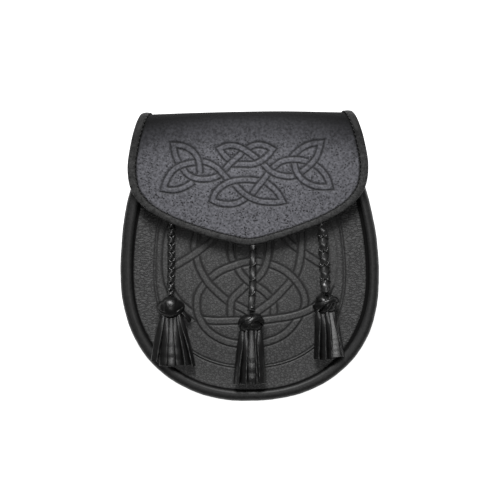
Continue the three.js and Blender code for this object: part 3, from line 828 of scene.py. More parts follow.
def strip_body(tassel, strip, knot_z):
    """One strip of the skirt. It leaves the knot level, and falls to the leather that it lies on."""
    share = np.linspace(0, 1, 70)
    y = mix(tassel["y"] - STRIP_START_Y, tassel["y"] - strip["length"], share)
    bowed = share + STRIP_BOW * np.sin(math.pi * share)
    x = tassel["x"] + mix(strip["top"], strip["foot"], bowed)
    tilt = np.radians(strip["tilt"]) * ease(share, 0, TILTED_BY)
    half = strip["width"] / 2 * mix(STRIP_NECK, 1, ease(share, 0, WIDE_BY))
    on_top = strip["layer"] == 2
    lying = rest_z(x, y).max() + STRIP_CLEARANCE + STRIP_LEATHER / 2
    lying = lying + strip["layer"] * STRIP_LAYER + half * np.abs(np.sin(tilt))
    late = np.clip(share - FALL_FROM, 0, 1) / (1 - FALL_FROM)
    fall = share if on_top else late ** FALL_POWER
    z = mix(knot_z - STRIP_START_Z, lying, fall)
    ripple = np.sin((tassel["y"] - y) * RIPPLE_TURN + strip["foot"])
    ripple *= STRIP_RIPPLE * ease(share, *RIPPLE_FROM_TO)
    z = z + ripple * ease(strip["length"], *RIPPLE_LENGTHS)
    line = np.stack([x, y, z], 1)
    along = unit(np.gradient(line, axis=0))
    level = unit(np.cross([0.0, 0.0, 1.0], along))
    up = np.cross(along, level)
    across = level * np.cos(tilt)[:, None] - up * np.sin(tilt)[:, None]
    out = up * np.cos(tilt)[:, None] + level * np.sin(tilt)[:, None]
    base = rounded_section(strip["width"], STRIP_LEATHER)
    crown = (FLAT_CROWN if on_top else CURLED_CROWN) * (base[:, 0] / strip["width"] * 2) ** 2
    scale = half / (strip["width"] / 2)
    rings = (
        line[:, None]
        + across[:, None] * base[None, :, :1] * scale[:, None, None]
        + out[:, None] * (base[:, 1] - crown)[None, :, None]
    )
    return band(rings)


# %% Tassels on their thongs
KNOT_HEIGHT = 6.2
for name, tassel in TASSELS.items():
    knot_z = float(rest_z(tassel["x"], tassel["y"])) + KNOT_HEIGHT
    centre = np.array([tassel["x"], tassel["y"], knot_z])
    knot = [knot_core(centre)] + [strap_ring(centre, strap) for strap in tassel["straps"]]
    skirt = [strip_body(tassel, strip, knot_z) for strip in tassel["strips"]]
    piece = add_piece(
        f"laced_tassel_{name}", join_bodies(knot + skirt), LEATHER_TASSEL,
        [f"tassel_{name}"],
    )
    # The knot has its own finish, and a strip that lies on top is as glossy as the thongs
    on_top = [strip["layer"] == 2 for strip in tassel["strips"]]
    for finish in [LEATHER_KNOT, LEATHER_THONG][:1 + any(on_top)]:
        piece.data.materials.append(finish)
    finishes = [1] * len(knot) + [2 if glossy else 0 for glossy in on_top]
    face_counts = [len(body_faces) for _, body_faces in knot + skirt]
    piece.data.polygons.foreach_set("material_index", np.repeat(finishes, face_counts))
    route = curve_through(np.array(ROUTES[name]))

# %% [markdown]
# ## Tooled ornament
#
# The interlace is tooled: the damp leather was pressed with a plate whose ridges leave two grooves
# along each band. Where two bands cross, only the upper one keeps its grooves. So each band here is
# a stretch that shows unbroken, and where two stretches overlap, the one whose ends are further away
# is the upper one. The lines are given as points read off the photograph, in its pixels, and one
# function turns them into millimetres. A loop's pointed end is its tip, and the points after the tip
# lead back. Press, where a band has it, is how deep it is against the others.

# %% From the photograph's pixels to the pouch
# PIXEL is in millimetres. The photograph's origin is the pouch's own, in its pixels
PIXEL = 0.696
PHOTO_ORIGIN = (249.7, 256.1)


def from_photo(points):
    """Places in the photograph's pixels as places on the pouch, with its one-degree turn undone."""
    points = np.asarray(points, float).reshape(-1, 2)
    x = (points[:, 0] - PHOTO_ORIGIN[0]) * PIXEL
    y = (PHOTO_ORIGIN[1] - points[:, 1]) * PIXEL
    turn = math.radians(PICTURE_TURN)
    return np.stack([x + turn * y, y - turn * x], 1)


# %% Bands of the flap's ornament
FLAP_BAND_HALF = 1.95
FLAP_BANDS = {
    "left upper loop": {"before": [
        (200.8, 174.5), (200.3, 168), (199.3, 162), (196.5, 156), (192, 151.2), (186, 147.8),
        (180, 146.3)],
        "tip": (174.2, 146), "after": [(176, 156), (180, 164.5)]},
    "left lower loop": {"before": [
        (197, 163.2), (188, 164.5), (181, 166.7), (175, 170.3), (170, 176), (166.5, 183)],
        "tip": (164.3, 189.6), "after": [(172, 190.9), (180, 189.8), (187, 187), (194.5, 182)]},
    "left smile": {"before": [
        (182.5, 167.5), (187, 174), (192, 177.5), (198, 179.5), (205, 180), (212, 179), (218, 177),
        (223, 174.5)]},
    "left shoulder": {"before": [
        (202.5, 162.3), (209, 163.8), (215, 167), (220, 171), (225, 176.5), (229.5, 182)]},
    "top left loop": {"before": [
        (259, 161), (254, 157.2), (249, 153.5), (244, 150.2), (238, 147.5), (232, 146.6), (226, 147.3)],
        "tip": (220.3, 149.8), "after": [(224, 155.3), (231.5, 162.5)]},
    "top right loop": {"before": [
        (232, 165), (240, 165), (247, 165.2), (253, 165), (259, 163), (264, 160), (268.5, 156)],
        "tip": (272.8, 150.3), "after": [(266, 146.8), (260, 145.7), (254, 146.3), (247.5, 149.5)]},
    "top diagonal": {"before": [
        (225, 171), (230, 165), (235, 160.5), (240, 156), (245, 151)]},
    "right shoulder": {"before": [
        (269.5, 172), (275.5, 166.5), (281, 162.8), (287, 160.9), (294, 160.4), (301, 160.8),
        (308.5, 162.7)]},
    "right smile": {"before": [
        (261, 161.5), (266.5, 168), (272, 172.7), (278, 175.5), (285, 177), (291, 177.2), (297.5, 176)]},
    "right upper loop": {"before": [
        (298.5, 174.8), (304, 171), (309.5, 166.3), (314, 161.5), (317.5, 155.5), (319.5, 149.5)],
        "tip": (320.8, 143.7), "after": [
            (313, 144.4), (307, 146.4), (301, 149.6), (296, 153.6), (291.5, 159)]},
    "right lower loop": {"before": [
        (294, 161.5), (295.2, 168.5), (297.5, 174.5), (302, 180), (308, 184.2), (315, 186.9),
        (322, 187.7)],
        "tip": (329.7, 187.4), "after": [(328, 181), (324.5, 174.7), (320, 169.8), (313.5, 164.5)]},
    "bottom left loop": {"before": [
        (259.5, 181.5), (250, 180.6), (242, 180.7), (234, 181.7), (227, 184.2), (221, 188.2),
        (216, 193.5)],
        "tip": (213, 200.8), "after": [
            (218, 203.3), (225, 204.7), (232, 204.7), (239, 203), (247, 198.5)]},
    "bottom right loop": {"before": [
        (234.5, 184.5), (242, 192.5), (248, 197), (254, 200), (261, 202.2), (269, 203), (276, 203)],
        "tip": (282.6, 201.8), "after": [(279.5, 196), (275, 190.5), (270, 186), (263.5, 181)]},
    "bottom diagonal": {"before": [
        (269, 173.5), (262.5, 182), (258, 187.3), (252, 195.5)]},
}

# %% Bands of the front panel's ornament
FRONT_BAND_HALF = 2.35
FRONT_BANDS = {
    "left arm": {"before": [
        (196, 255), (199, 266), (203.5, 275.5), (210, 285), (217.5, 292.5), (224.5, 298.7),
        (231.5, 304)]},
    "left arm, upper end": {"before": [
        (196, 255), (194.3, 248), (194.8, 240), (197, 230)]},
    "left bar": {"before": [
        (165, 271), (172, 268), (178, 264.8), (185, 260.7), (192, 256.2), (199, 251.3), (205, 246.6),
        (211, 241), (216, 235)]},
    "inner ring": {"before": [
        (207, 282.5), (201.5, 289), (198, 296), (197, 305), (197.8, 313), (201, 321), (206, 328.5),
        (214, 335.5), (226, 341.5), (240, 344.3), (255, 344.4), (270, 341.5), (283, 335.5),
        (291, 328.5), (297, 320.5), (302, 312)]},
    "arch, right side": {"before": [
        (266, 263.7), (273, 265.6), (279.5, 268.2), (286, 272), (292, 277), (297, 282.5), (301.5, 289),
        (304.5, 296), (305.3, 303.5), (303, 312)]},
    "arch, left side": {"before": [
        (205, 284), (208.5, 280.8), (213, 277), (219, 272.5), (226, 269), (233, 266.5), (240, 264),
        (248, 262), (256, 261.5), (263, 262.8), (269, 264.5)]},
    "left hook": {"before": [
        (251, 282), (244.5, 288), (239, 293), (233.5, 298.5), (231.2, 304), (231, 311), (231, 321)]},
    "right arm, upper end": {"before": [
        (269.5, 240), (269, 250), (267.3, 261), (264, 270), (259, 277), (251.5, 283.5)]},
    "centre diagonal": {"before": [
        (236.5, 266), (241, 273.5), (246, 279.5), (252, 284), (259, 288), (265, 292.5), (272.5, 300)]},
    "centre diagonal, upper end": {"before": [
        (236.5, 266), (232.5, 259), (231, 250), (231, 240)]},
    "right hook": {"before": [
        (271, 299), (273.5, 305), (274, 312), (274, 321)]},
    "right strand": {"before": [
        (294.5, 277.5), (290, 283), (284, 289.5), (278, 296), (272, 301.5), (266, 306), (260, 310.5),
        (252, 315.5)]},
    "right arm": {"before": [
        (302, 232), (301.8, 246), (301, 256), (299, 267), (296, 275), (292.5, 280)]},
    "right bar, outer end": {"before": [
        (335, 271), (328, 268), (322, 264.8), (315, 260.7), (308, 256.2), (301, 251.5)]},
    "right bar, inner end": {"before": [
        (302, 252), (294, 246), (288, 240), (284, 233)]},
    "left strand": {"before": [
        (230.5, 302), (236, 305.5), (242, 308.5), (250, 313)]},
    "outer ring, left": {"before": [
        (173, 218), (169.5, 229), (167, 242), (165.8, 255), (166, 272), (168.5, 285), (175, 297),
        (185, 308), (194, 315), (199.5, 318.5)]},
    "outer ring, worn faint on the right": {"press": 0.3, "before": [
        (331.5, 284), (334.5, 270), (334.5, 255), (332.5, 242), (329.5, 229), (326, 218)]},
    "outer ring, right": {"before": [
        (195, 318), (203, 320), (212, 321), (222, 321.2), (235, 320.8), (250, 321), (262, 320.6),
        (275, 319), (290, 316.7), (300, 314), (306, 311.8), (317, 305.5), (326, 295), (331.5, 284)]},
}

# %% Distance to a band
FAR = 1e3
LINE_STEPS = 8


def stretch_field(points, line):
    """Each point's distance to a line, how far along the line its nearest place is, and the same
    distance as if the line's last straight bit ran on, for a mitred tip."""
    nearest, offset = np.full(len(points), FAR), np.full(len(points), FAR)
    along = np.zeros(len(points))
    before_start, beyond = np.zeros(len(points), bool), np.zeros(len(points), bool)
    start = 0.0
    for k in range(len(line) - 1):
        direction = line[k + 1] - line[k]
        length = np.hypot(*direction)
        direction = direction / length
        away = points - line[k]
        reach = away @ direction
        side = np.abs(away[:, 0] * direction[1] - away[:, 1] * direction[0])
        clipped = np.clip(reach, 0, length)
        distance = np.hypot(reach - clipped, side)
        closer = distance < nearest
        nearest = np.where(closer, distance, nearest)
        along = np.where(closer, start + clipped, along)
        if k == 0:
            before_start = closer & (reach < 0)
        else:
            before_start &= ~closer
        if k == len(line) - 2:
            beyond = closer & (reach > length)
            offset = side
        start += length
    return nearest, along, start, before_start, beyond, offset


def band_field(points, row):
    """Distance from a band's middle, and how far the nearest place is from the band's open ends."""
    tip = [row["tip"]] if "tip" in row else []
    first = curve_through(from_photo(row["before"] + tip), steps=LINE_STEPS)
    near1, along1, length1, open1, past1, side1 = stretch_field(points, first)
    if not tip:
        return np.where(open1 | past1, FAR, near1), np.minimum(along1, length1 - along1)
    second = curve_through(from_photo(row["after"][::-1] + tip), steps=LINE_STEPS)
    near2, along2, _, open2, past2, side2 = stretch_field(points, second)
    near1 = np.where(open1, FAR, near1)
    near2 = np.where(open2, FAR, near2)
    distance = np.where(past1 & past2, np.maximum(side1, side2), np.minimum(near1, near2))
    return distance, np.where(near1 <= near2, along1, along2)


# %% Tooling
TOOLING_DEPTH, TOOLING_LINE = 0.6, 0.48
# A line's outer side is softer than the side next to the band, and the band's face starts inside it
SOFT_SIDE = 1.9
FACE_EDGE = 0.9
BAND_REACH = 6


def ornament(points, bands, half):
    """How deep the tooling is at each point, from 0 to 1, and where a band's own face lies."""
    fields = []
    for row in bands.values():
        rough = from_photo(row["before"] + row.get("after", []) + ([row["tip"]] if "tip" in row else []))
        low, high = rough.min(0) - BAND_REACH, rough.max(0) + BAND_REACH
        near = np.all((points > low) & (points < high), axis=1)
        distance, inside = np.full(len(points), FAR), np.zeros(len(points))
        distance[near], inside[near] = band_field(points[near], row)
        fields.append((distance, inside, row.get("press", 1)))
    tooling, face = np.zeros(len(points)), np.zeros(len(points))
    for distance, inside, press in fields:
        covered = np.zeros(len(points), bool)
        for other, other_inside, _ in fields:
            if other is not distance:
                covered |= (other < half) & (other_inside > inside)
        from_side = distance - half
        width = TOOLING_LINE * np.where(from_side > 0, SOFT_SIDE, 1)
        line = np.exp(-((from_side / width) ** 2))
        tooling = np.maximum(tooling, np.where(covered, 0, line * press))
        face = np.maximum(face, press * (1 - ease(distance, half - FACE_EDGE, half)))
    print(len(bands), "bands tooled over", len(points), "points")
    return tooling, face


# %% [markdown]
# ## Front panel
#
# The panel is one sheet, domed by what the pouch holds and held flat in the piping round its edge.
# Its ornament is real relief: a grid of points half a millimetre apart takes the shape of the tooled
# lines. Under the flap and towards the edges the points are set wider apart, because nothing that
# fine shows there.

# %% Grids of points on the flat leather
INNER_STEP = 4
SIDE_TO_SIDE = 83


def spread(stops, spacings):
    """Values from stop to stop, with about the given spacing between each two."""
    values = [stops[0]]
    for start, end, spacing in zip(stops, stops[1:], spacings):
        count = max(1, round(abs(end - start) / spacing))
        values += list(np.linspace(start, end, count + 1)[1:])
    return np.array(values)


def fill_to(values, step):
    """The same run of values, with its widest gap halved until the count fits step."""
    values = list(values)
    while (len(values) - 1) % step:
        k = int(np.argmax(np.abs(np.diff(values))))
        values.insert(k + 1, (values[k] + values[k + 1]) / 2)
    return np.array(values)


def flat_grid(rows, row_half, coarse_from, fine, coarse):
    """A grid as wide as each row, fine in the middle and coarse near its sides."""
    shares = spread([0, coarse_from, 1], [fine / SIDE_TO_SIDE, coarse / SIDE_TO_SIDE])
    columns = fill_to(np.concatenate([-shares[::-1][:-1], shares]), INNER_STEP)
    return row_half[:, None] * columns, np.repeat(rows[:, None], len(columns), 1)


def on_both(outer_values, inner_count, inner_value=0.0):
    """An attribute's values for a sheet's outer grid, with one value for all of its inner grid."""
    return np.concatenate([np.ravel(outer_values), np.full(inner_count, inner_value)])


# %% Front panel
FRONT_EDGE_INSET = 6.2
PANEL_LEATHER = 2
BORDER_INSETS = (23.4, 25.0)
BORDER_BEAD, BEAD_WIDTH = 0.35, 0.42
BAND_RISE = 0.1
# A painted shadow darkens the panel's leather from 1.5 to 9.5 mm below the flap's edge
FLAP_SHADE, SHADE_DEPTH = (1.5, 9.5), 0.92
# The painted shade of the seam starts further out round the bottom, where the piping is tucked in
BOTTOM_Y, BOTTOM_TUCK = (-88, -55), 0.9
SEAM_INSETS = (9.2, 10.2)
# The grain is drawn out sideways from 56 to 66 mm off the middle
PULLED_X = (56, 66)

outline, outline_inward = outline_line(1601)
panel_edge = outline + outline_inward * FRONT_EDGE_INSET
rows_y = fill_to(spread([80.5, 42, -78, panel_edge[:, 1].min() + 0.25], [3, 0.5, 0.9]), INNER_STEP)
right_edge = panel_edge[panel_edge[:, 0] > 0]
right_edge = right_edge[np.argsort(right_edge[:, 1])]
row_half = np.interp(rows_y, right_edge[:, 1], right_edge[:, 0])
x, y = flat_grid(rows_y, row_half, 0.86, 0.5, 1.1)
flat_points = np.stack([x.ravel(), y.ravel()], 1)
tooling, face = ornament(flat_points, FRONT_BANDS, FRONT_BAND_HALF)
inside = inset_of(flat_points[:, 0], flat_points[:, 1])
tooling *= ease(inside, BORDER_INSETS[1] - 0.6, BORDER_INSETS[1])
for border in BORDER_INSETS:
    tooling = np.maximum(tooling, np.exp(-(((inside - border) / TOOLING_LINE) ** 2)))
bead = BORDER_BEAD * np.exp(-(((inside - np.mean(BORDER_INSETS)) / BEAD_WIDTH) ** 2))
relief = BAND_RISE * face + bead - TOOLING_DEPTH * tooling
outer = np.stack([x, y, front_z(x, y) + relief.reshape(x.shape)], -1)
inner_x, inner_y = x[::INNER_STEP, ::INNER_STEP], y[::INNER_STEP, ::INNER_STEP]
inner = np.stack([inner_x, inner_y, front_z(inner_x, inner_y) - PANEL_LEATHER], -1)
panel = sheet(outer, inner, INNER_STEP)

# %% Front panel's finish
at_bottom = 1 - ease(flat_points[:, 1], *BOTTOM_Y)
# Painted shade in the seam beside the piping
seam = 1 - ease(inside + BOTTOM_TUCK * at_bottom, *SEAM_INSETS)
flap_line = edge_line[-edge_line[:, 1] > front_v(75)]
flap_line = flap_line[np.argsort(flap_line[:, 0])]
flap_y = FOLD_END_V + FOLD_Y + np.interp(flat_points[:, 0], flap_line[:, 0], flap_line[:, 1])
# A painted shadow below the flap's edge
shaded = SHADE_DEPTH * (1 - ease(flap_y - flat_points[:, 1], *FLAP_SHADE))
attributes = {
    "groove": on_both(np.maximum(np.maximum(tooling, seam), shaded), inner_x.size),
    "pulled": ease(np.abs(panel[0][:, 0]), *PULLED_X),
    "pressed": on_both(np.maximum(0.25 * face, tooling), inner_x.size),
}
add_piece("tooled_front", panel, LEATHER_FRONT, ["front_panel"], attributes)

# %% [markdown]
# ## Back and flap
#
# One length of hide makes the back, the fold over the mouth and the flap. It is laid out flat as
# rows and columns and then placed, so the ornament bends with the leather wherever it lies.

# %% Back and flap
BACK_LEATHER = 2.2
FLAP_BAND_RISE = 0.08

rim = (edge_line + edge_inward * EDGE_PROUD)[:601]
tip_v, low_v = -rim[:, 1].min(), -rim[1:, 1].max()
rows_v = fill_to(spread(
    [low_v + 0.3, FOLD_START_V, FOLD_END_V, front_v(30), tip_v - 1, tip_v - 0.15],
    [3.2, 1.6, 0.45, 0.8, 0.25],
), INNER_STEP)
rim = rim[np.argsort(-rim[:, 1])]
x, v = flat_grid(rows_v, np.interp(rows_v, -rim[:, 1], rim[:, 0]), 0.76, 0.46, 1)
place, normal = place_leather(x, v)
flat_points = np.stack([x.ravel(), (FOLD_END_V + FOLD_Y - v).ravel()], 1)
tooling, face = ornament(flat_points, FLAP_BANDS, FLAP_BAND_HALF)
relief = FLAP_BAND_RISE * face - TOOLING_DEPTH * tooling
outer = place + normal * relief.reshape(x.shape)[..., None]
inner = (place - normal * BACK_LEATHER)[::INNER_STEP, ::INNER_STEP]
inner_count = inner[..., 0].size

# %% Back and flap's finish
# The painted light starts on the fold, further up it in the middle than at its sides, and is weaker
# towards the sides; above it a painted shade keeps the fold dark. A painted shade darkens the leather
# where the binding grips it
LIT_BOW, LIT_START, LIT_END, SIDE_SHADE = 9, -10, 26, 0.14
FLAP_SIDE = 80
BACK_LIT, INSIDE_LIT = 0.5, 0.3
GRIP, GRIP_SHADE = (6.0, 7.3), 0.9

from_middle = (x / FLAP_SIDE) ** 2
# Painted light low on the flap, painted shade on the fold and a little painted shade towards the sides
handled = ease(v + LIT_BOW * (1 - from_middle), FOLD_END_V + LIT_START, FOLD_END_V + LIT_END)
handled = np.where(v < FOLD_START_V, BACK_LIT, handled * (1 - SIDE_SHADE * from_middle))
edge_tree = kdtree.KDTree(len(edge_line))
for k, (edge_x, edge_y) in enumerate(edge_line):
    edge_tree.insert((edge_x, edge_y, 0), k)
edge_tree.balance()
nearest = [edge_tree.find((px, py, 0))[1:] for px, py in zip(x.ravel(), (-v).ravel())]
from_edge = np.array([distance / binding_share[k] for k, distance in nearest])
# Painted shade beside the binding's inner edge; the tooled lines take painted shade too
binding_shade = GRIP_SHADE * (1 - ease(from_edge, *GRIP))
attributes = {
    "pressed": on_both(np.maximum(0.6 * face, tooling), inner_count),
    "groove": on_both(np.maximum(tooling * 0.85, binding_shade), inner_count),
    "handled": on_both(handled, inner_count, INSIDE_LIT),
}
hide = sheet(outer, inner, INNER_STEP)
add_piece("tooled_back_and_flap", hide, LEATHER_FLAP, ["back_and_flap"], attributes)

# %% [markdown]
# ## Rolled edges
#
# Round the front runs a piping: leather rolled over a cord, with a flat seam inside it that lies in
# shadow. Another strip is folded over the whole edge of the back and flap and sewn through. Both are
# one section carried round the outline. Real edges aren't even: they swell between stitches and
# pucker on the inside of a bend, so the sections breathe a little as they go.

# %% Sections of the rolled edges: how far inside the outline, and the height
PIPING_SECTION = [
    (2.4, 19.5), (8.6, 19.5), (9.2, 22), (5.9, 22), (5.9, 24.65), (9.4, 24.65), (9.3, 25), (8.2, 25.05),
    (7.5, 25.2), (7.1, 25.8), (6.6, 26.5), (5.6, 27.05), (4.3, 27.2), (2.8, 26.9), (1.4, 26),
    (0.4, 24.4), (0.1, 22.6), (0.5, 20.8), (1.3, 19.8),
]
PIPING_SEAM_INSET = 7.1
SWELL_LOW_Z, SWELL_HEIGHT, SWELL_WIDTH, SWELL_RISE = 19.5, 3, 6, 0.6
GUSSET_MIDDLE_Z, GUSSET_HALF_HEIGHT = 12.15, 7.05
WAVE_SHIFT = 1.7
GUSSET_SECTION = [
    (3.4, 5.1), (5.4, 5.1), (6.2, 8.6), (6.4, 12.2), (6.2, 15.7), (5.4, 19.2), (3.4, 19.2),
    (3.6, 17.5), (4, 15.7), (4.2, 14), (4.25, 12.2), (4.2, 10.4), (4, 8.6), (3.6, 6.8),
]
BINDING_SECTION = [
    (0, -2.2), (0.5, -3.2), (1.4, -3.5), (4.6, -3.5), (5.4, -3.15), (5.6, -2.6), (1, -2.6), (1, 0.4),
    (5.6, 0.4), (5.5, 0.9), (4.8, 1.3), (3, 1.5), (1.4, 1.3), (0.5, 1), (0, 0),
]


def eased_corners(section, reach=0.3):
    """A section with each corner turned into a short curve."""
    section = np.asarray(section, float)
    points = []
    for corner, a, b in zip(section, np.roll(section, 1, axis=0), np.roll(section, -1, axis=0)):
        start, end = mix(corner, a, reach), mix(corner, b, reach)
        points += [start, 0.25 * start + 0.5 * corner + 0.25 * end, end]
    return np.array(points)


def breathing(along, *waves):
    """A slow unevenness along an edge: each wave is a length in mm and a height."""
    return sum(
        height * np.sin(along * 2 * math.pi / length + WAVE_SHIFT * k)
        for k, (length, height) in enumerate(waves)
    )


EDGE_COUNT = 620
rim_line, rim_inward = outline_line(EDGE_COUNT)
rim_share = np.linspace(0, 1, EDGE_COUNT)
rim_length = lengths_along(rim_line)[-1]


def outline_band(section, swell):
    """A section carried round the pouch's outline. Swell moves its upper and outer part outwards."""
    upper = np.clip((section[:, 1] - SWELL_LOW_Z) / SWELL_HEIGHT, 0, 1)
    share = np.clip(1 - section[:, 0] / SWELL_WIDTH, 0, 1) * upper
    rings = np.zeros((EDGE_COUNT, len(section), 3))
    inset = section[:, 0] - swell[:, None] * share
    rings[:, :, :2] = rim_line[:, None] + rim_inward[:, None] * inset[..., None]
    rings[:, :, 2] = section[:, 1] + swell[:, None] * SWELL_RISE * share
    return rings


def move_in(rings, distance):
    """Moves each corner of each ring towards the inside of the pouch."""
    rings[:, :, :2] += rim_inward[:, None] * distance[..., None]


# %% Piping
# The pouch has been pulled askew, so its edge is fuller in two places. Each row is a place along the
# edge and a reach, both as shares of the edge's length from the mouth's right end, and a height in mm
ASKEW = [(0.33, 0.075, 1.15), (0.9, 0.05, 0.8)]
# Round the bottom the flange is tucked outwards under the roll, and on the left the roll leans in
TUCK, LEAN, LEAN_PLACE, LEAN_REACH = 1.0, 1.1, 0.77, 0.15

section = eased_corners(PIPING_SECTION)
inset, height = section.T
swell = breathing(rim_share * rim_length, (61, 0.1), (23, 0.05), (9.5, 0.03), (5.3, 0.02))
for middle, reach, rise in ASKEW:
    swell += rise * np.exp(-(((rim_share - middle) / reach) ** 2))
rings = outline_band(section, swell)
tucked = TUCK * (1 - ease(rim_line[:, 1], *BOTTOM_Y))
move_in(rings, -tucked[:, None] * ease(inset, 8.3, 9))
leaning = LEAN * np.exp(-(((rim_share - LEAN_PLACE) / LEAN_REACH) ** 2))
move_in(rings, leaning[:, None] * (ease(inset, 1, 4) * (1 - ease(inset, 7.6, 9)) * (height > 25)))
# Painted shade in the seam inside the roll and on the roll's outer side
seam = ease(inset, PIPING_SEAM_INSET - 0.6, PIPING_SEAM_INSET + 0.4)
seam = np.maximum(seam, 1 - ease(inset, 0.2, 2.2))
piping = add_piece(
    "rolled_piping", band(rings), LEATHER_EDGE, ["front_piping"],
    {"groove": np.tile(seam, EDGE_COUNT)},
)
# The seam's faces take the nearly black painted seam shade
piping.data.materials.append(SEAM_SHADE)
in_seam = (inset > PIPING_SEAM_INSET) & (height > 23)
in_seam = np.tile(in_seam & np.roll(in_seam, -1), EDGE_COUNT - 1)
piping.data.polygons.foreach_set("material_index", np.append(in_seam, [0, 0]).astype(int))
print(in_seam.sum(), "faces of the piping lie in its seam")

# %% Gusset
# The gusset is gathered between two seams, so its middle puckers in soft waves
section = eased_corners(GUSSET_SECTION)
rings = outline_band(section, np.zeros(EDGE_COUNT))
middle = 1 - ((section[:, 1] - GUSSET_MIDDLE_Z) / GUSSET_HALF_HEIGHT) ** 2
pucker = breathing(rim_share * rim_length, (12.7, 0.16), (7.3, 0.08), (43, 0.25), (19, 0.1))
move_in(rings, pucker[:, None] * middle)
add_piece("puckered_gusset", band(rings), LEATHER_GUSSET, ["gusset"])

# %% Binding
# The pouch's weight presses the binding flat where it lies on the floor. A painted shade darkens the
# binding most over the fold, like the leather beside it, fading down the flap, and less on the back
FLOOR_GAP = 0.03
section = eased_corners(BINDING_SECTION)
_, edge_normal = place_leather(edge_line[:, 0], -edge_line[:, 1])
edge_along = lengths_along(edge_line)
swell = breathing(edge_along, (47, 0.06), (19, 0.05), (6.6, 0.05))
rings = []
for inset, lift in section:
    proud = swell if lift > 0.8 else 0 * swell
    inside = edge_line + edge_inward * (inset * binding_share)[:, None]
    rings.append(place_leather(inside[:, 0], -inside[:, 1])[0] + edge_normal * (lift + proud)[:, None])
rings = np.stack(rings, 1)
rings[..., 2] = np.maximum(rings[..., 2], FLOOR_GAP)
# The binding's painted shade fades out down the flap, as the painted light on the flap's leather grows
worn = ease(-edge_line[:, 1], FOLD_END_V - 12, FOLD_END_V + 22)
dark = np.where(-edge_line[:, 1] < FOLD_START_V, 0.4, 0.75 * (1 - worn))
add_piece(
    "sewn_binding", band(rings, loop=True), LEATHER_BINDING, ["edge_binding"],
    {"groove": np.repeat(dark, len(section))},
)

# %% [markdown]
# ### Stitches
#
# The binding is sewn with waxed thread, three stitches to the centimetre. Each stitch is pulled
# down into the leather at both ends, so it is a short bar with sunken ends, a little askew. They are
# small solid bars, all joined into one mesh, because a painted line would lie flat on the leather.

# %% Stitches
STITCH_PITCH, STITCH_LENGTH, STITCH_INSET = 3.3, 2.5, 5.45
THREAD_WIDTH, THREAD_HEIGHT, THREAD_SINK = 1.0, 0.7, 0.7
ASKEW_SHARE = 0.12


def stitch(start, end, out):
    """One stitch between two holes."""
    share = np.linspace(0, 1, 7)[:, None]
    sink = (np.abs(share - 0.5) * 2) ** 3 * THREAD_SINK
    line = mix(start, end, share) - out * sink
    bar = rounded_section(THREAD_WIDTH, THREAD_HEIGHT, 2)
    return sweep(line, np.repeat(out[None], len(line), 0), bar)


def stitches_along(places, outs, directions):
    half = STITCH_LENGTH / 2
    return [stitch(p - d * half, p + d * half, n) for p, n, d in zip(places, outs, directions)]


# %% Stitches of the binding
sewn_count = round(edge_along[-1] / STITCH_PITCH)
picks = np.round(np.linspace(0, len(edge_line), sewn_count, endpoint=False)).astype(int)
sewn_line = edge_line + edge_inward * (STITCH_INSET * binding_share)[:, None]
flat, normal = place_leather(sewn_line[:, 0], -sewn_line[:, 1])
bodies = []
for lift, side in ((0.92, 1), (-3.2, -1)):
    place = flat + normal * lift
    along = unit(np.roll(place, -1, axis=0) - np.roll(place, 1, axis=0))
    askew = unit(along + np.cross(normal, along) * ASKEW_SHARE)
    bodies += stitches_along(place[picks], normal[picks] * side, askew[picks])
add_piece("binding_stitches", join_bodies(bodies), THREAD)

# %% [markdown]
# ## Belt loops
#
# Two straps sewn to the back take the belt. The photograph doesn't show them, so they are plain: a
# strap that lies on the back at both ends and stands off between them.

# %% Belt loops
LOOP_X, LOOP_Y, LOOP_HALF_WIDTH = 42, 38, 10
# Half of a strap's side view, as (y from its middle, z), and how its long edges are rounded: shares
# of its half-width, and how far the surface is set in there
LOOP_SIDE = [(14.6, 0.15), (15.4, 0.7), (18.2, 4.4), (25, 4.4), (25, 6.4), (16.2, 6.4), (14, 2.1)]
ROUNDING = [(-1, 0.5), (-0.975, 0.15), (-0.93, 0), (0.93, 0), (0.975, 0.15), (1, 0.5)]
LOOP_LIT = 0.4
SEWN_FROM_MIDDLE, SEWN_ROWS, SEWN_PITCH, SEWN_Z = 21.6, (-1.6, 1.6), 2.8, 4.35


def loop_body(x):
    """A strap of constant thickness along its profile, with its long edges rounded."""
    profile = eased_corners(LOOP_SIDE + [(-y, z) for y, z in reversed(LOOP_SIDE)], 0.25)
    normal = np.roll(profile, -1, axis=0) - np.roll(profile, 1, axis=0)
    normal = unit(np.stack([normal[:, 1], -normal[:, 0]], 1))
    rings = []
    for across, inset in ROUNDING:
        moved = profile - normal * inset
        across_x = np.full(len(moved), x + across * LOOP_HALF_WIDTH)
        rings.append(np.stack([across_x, LOOP_Y + moved[:, 0], moved[:, 1]], 1))
    return band(np.stack(rings))


down, ahead = np.array([0.0, 0.0, -1.0]), np.array([1.0, 0.0, 0.0])
for side, x in (("left", -LOOP_X), ("right", LOOP_X)):
    strap = loop_body(x)
    # The straps take the flap's leather at a fixed share of its painted light
    strap_lit = {"handled": np.full(len(strap[0]), LOOP_LIT)}
    name = f"strap_loop_{side}"
    add_piece(name, strap, LEATHER_FLAP, [f"belt_loop_{side}"], strap_lit)
    bodies = []
    for end_y in (LOOP_Y - SEWN_FROM_MIDDLE, LOOP_Y + SEWN_FROM_MIDDLE):
        for row in SEWN_ROWS:
            places = [np.array([x + k * SEWN_PITCH, end_y + row, SEWN_Z]) for k in range(-3, 4)]
            bodies += stitches_along(places, [down] * 7, [ahead] * 7)
    add_piece(f"loop_stitches_{side}", join_bodies(bodies), THREAD)

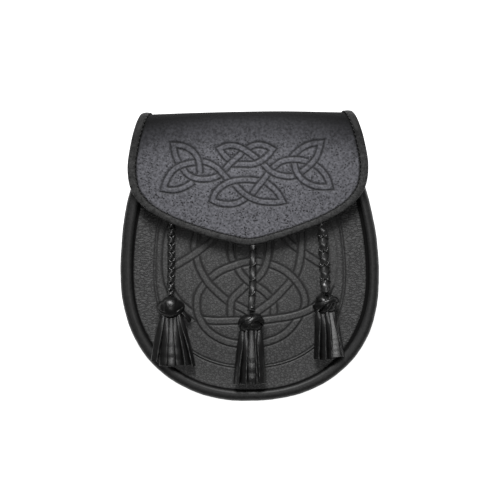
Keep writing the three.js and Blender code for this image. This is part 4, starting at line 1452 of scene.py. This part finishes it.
# %% Closure stud
# The stud is right as the CAD made it, so it only gets its metal
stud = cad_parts["closure_stud"]
for material_slot in stud.material_slots:
    material_slot.material = METAL_STUD
print("stud:", [material_slot.material.name for material_slot in stud.material_slots])

# %% [markdown]
# ## Floor and light
#
# The photograph has a pure white ground with no shadow on it, which a light table gives: a sheet of
# opal acrylic that glows. The key light is a big soft box beyond the pouch's top, half way down the
# sky. It throws the flap's shadow down over the front panel and shades the upper lip of each tooled
# line. A weaker box above the camera puts the highlights on the knots, the strips and the thongs.

# %% Floor
def opal_acrylic():
    """The top of a light table: white acrylic that is lit from below."""
    values = {
        "Base Color": linear("#d8d8d8"), "Roughness": 0.9, "Specular IOR Level": 0.1,
        "Emission Color": [1, 1, 1, 1], "Emission Strength": 0.9,
    }
    return start_material("opal acrylic", values)[0]


floor_mesh = bpy.data.meshes.new("floor")
floor_mesh.from_pydata([(-3, -3, 0), (3, -3, 0), (3, 3, 0), (-3, 3, 0)], [], [(0, 1, 2, 3)])
floor_mesh.materials.append(opal_acrylic())
floor = bpy.data.objects.new("floor", floor_mesh)
bpy.context.scene.collection.objects.link(floor)


# %% Lights
def add_light(name, place, size, power):
    """A soft square light that looks at the pouch."""
    data = bpy.data.lights.new(name, "AREA")
    data.shape = "SQUARE"
    data.size = size
    data.energy = power
    lamp = bpy.data.objects.new(name, data)
    lamp.location = place
    lamp.rotation_euler = (-lamp.location).to_track_quat("-Z", "Y").to_euler()
    bpy.context.scene.collection.objects.link(lamp)
    print(name, "light,", power, "watts from", size, "metres square")


add_light("key", (-0.15, 1.7, 1.5), 0.9, 62)
add_light("overhead", (0, -0.25, 2.3), 0.66, 9)

# %% Sky
# A white sky, faint enough to leave the leather black, fills the shadows
world = bpy.data.worlds.new("studio")
world.use_nodes = True
sky = world.node_tree.nodes["Background"]
sky.inputs["Color"].default_value = (1, 1, 1, 1)
sky.inputs["Strength"].default_value = 0.12
bpy.context.scene.world = world
bpy.context.scene.view_settings.view_transform = "Standard"
print("sky strength", round(sky.inputs["Strength"].default_value, 2))
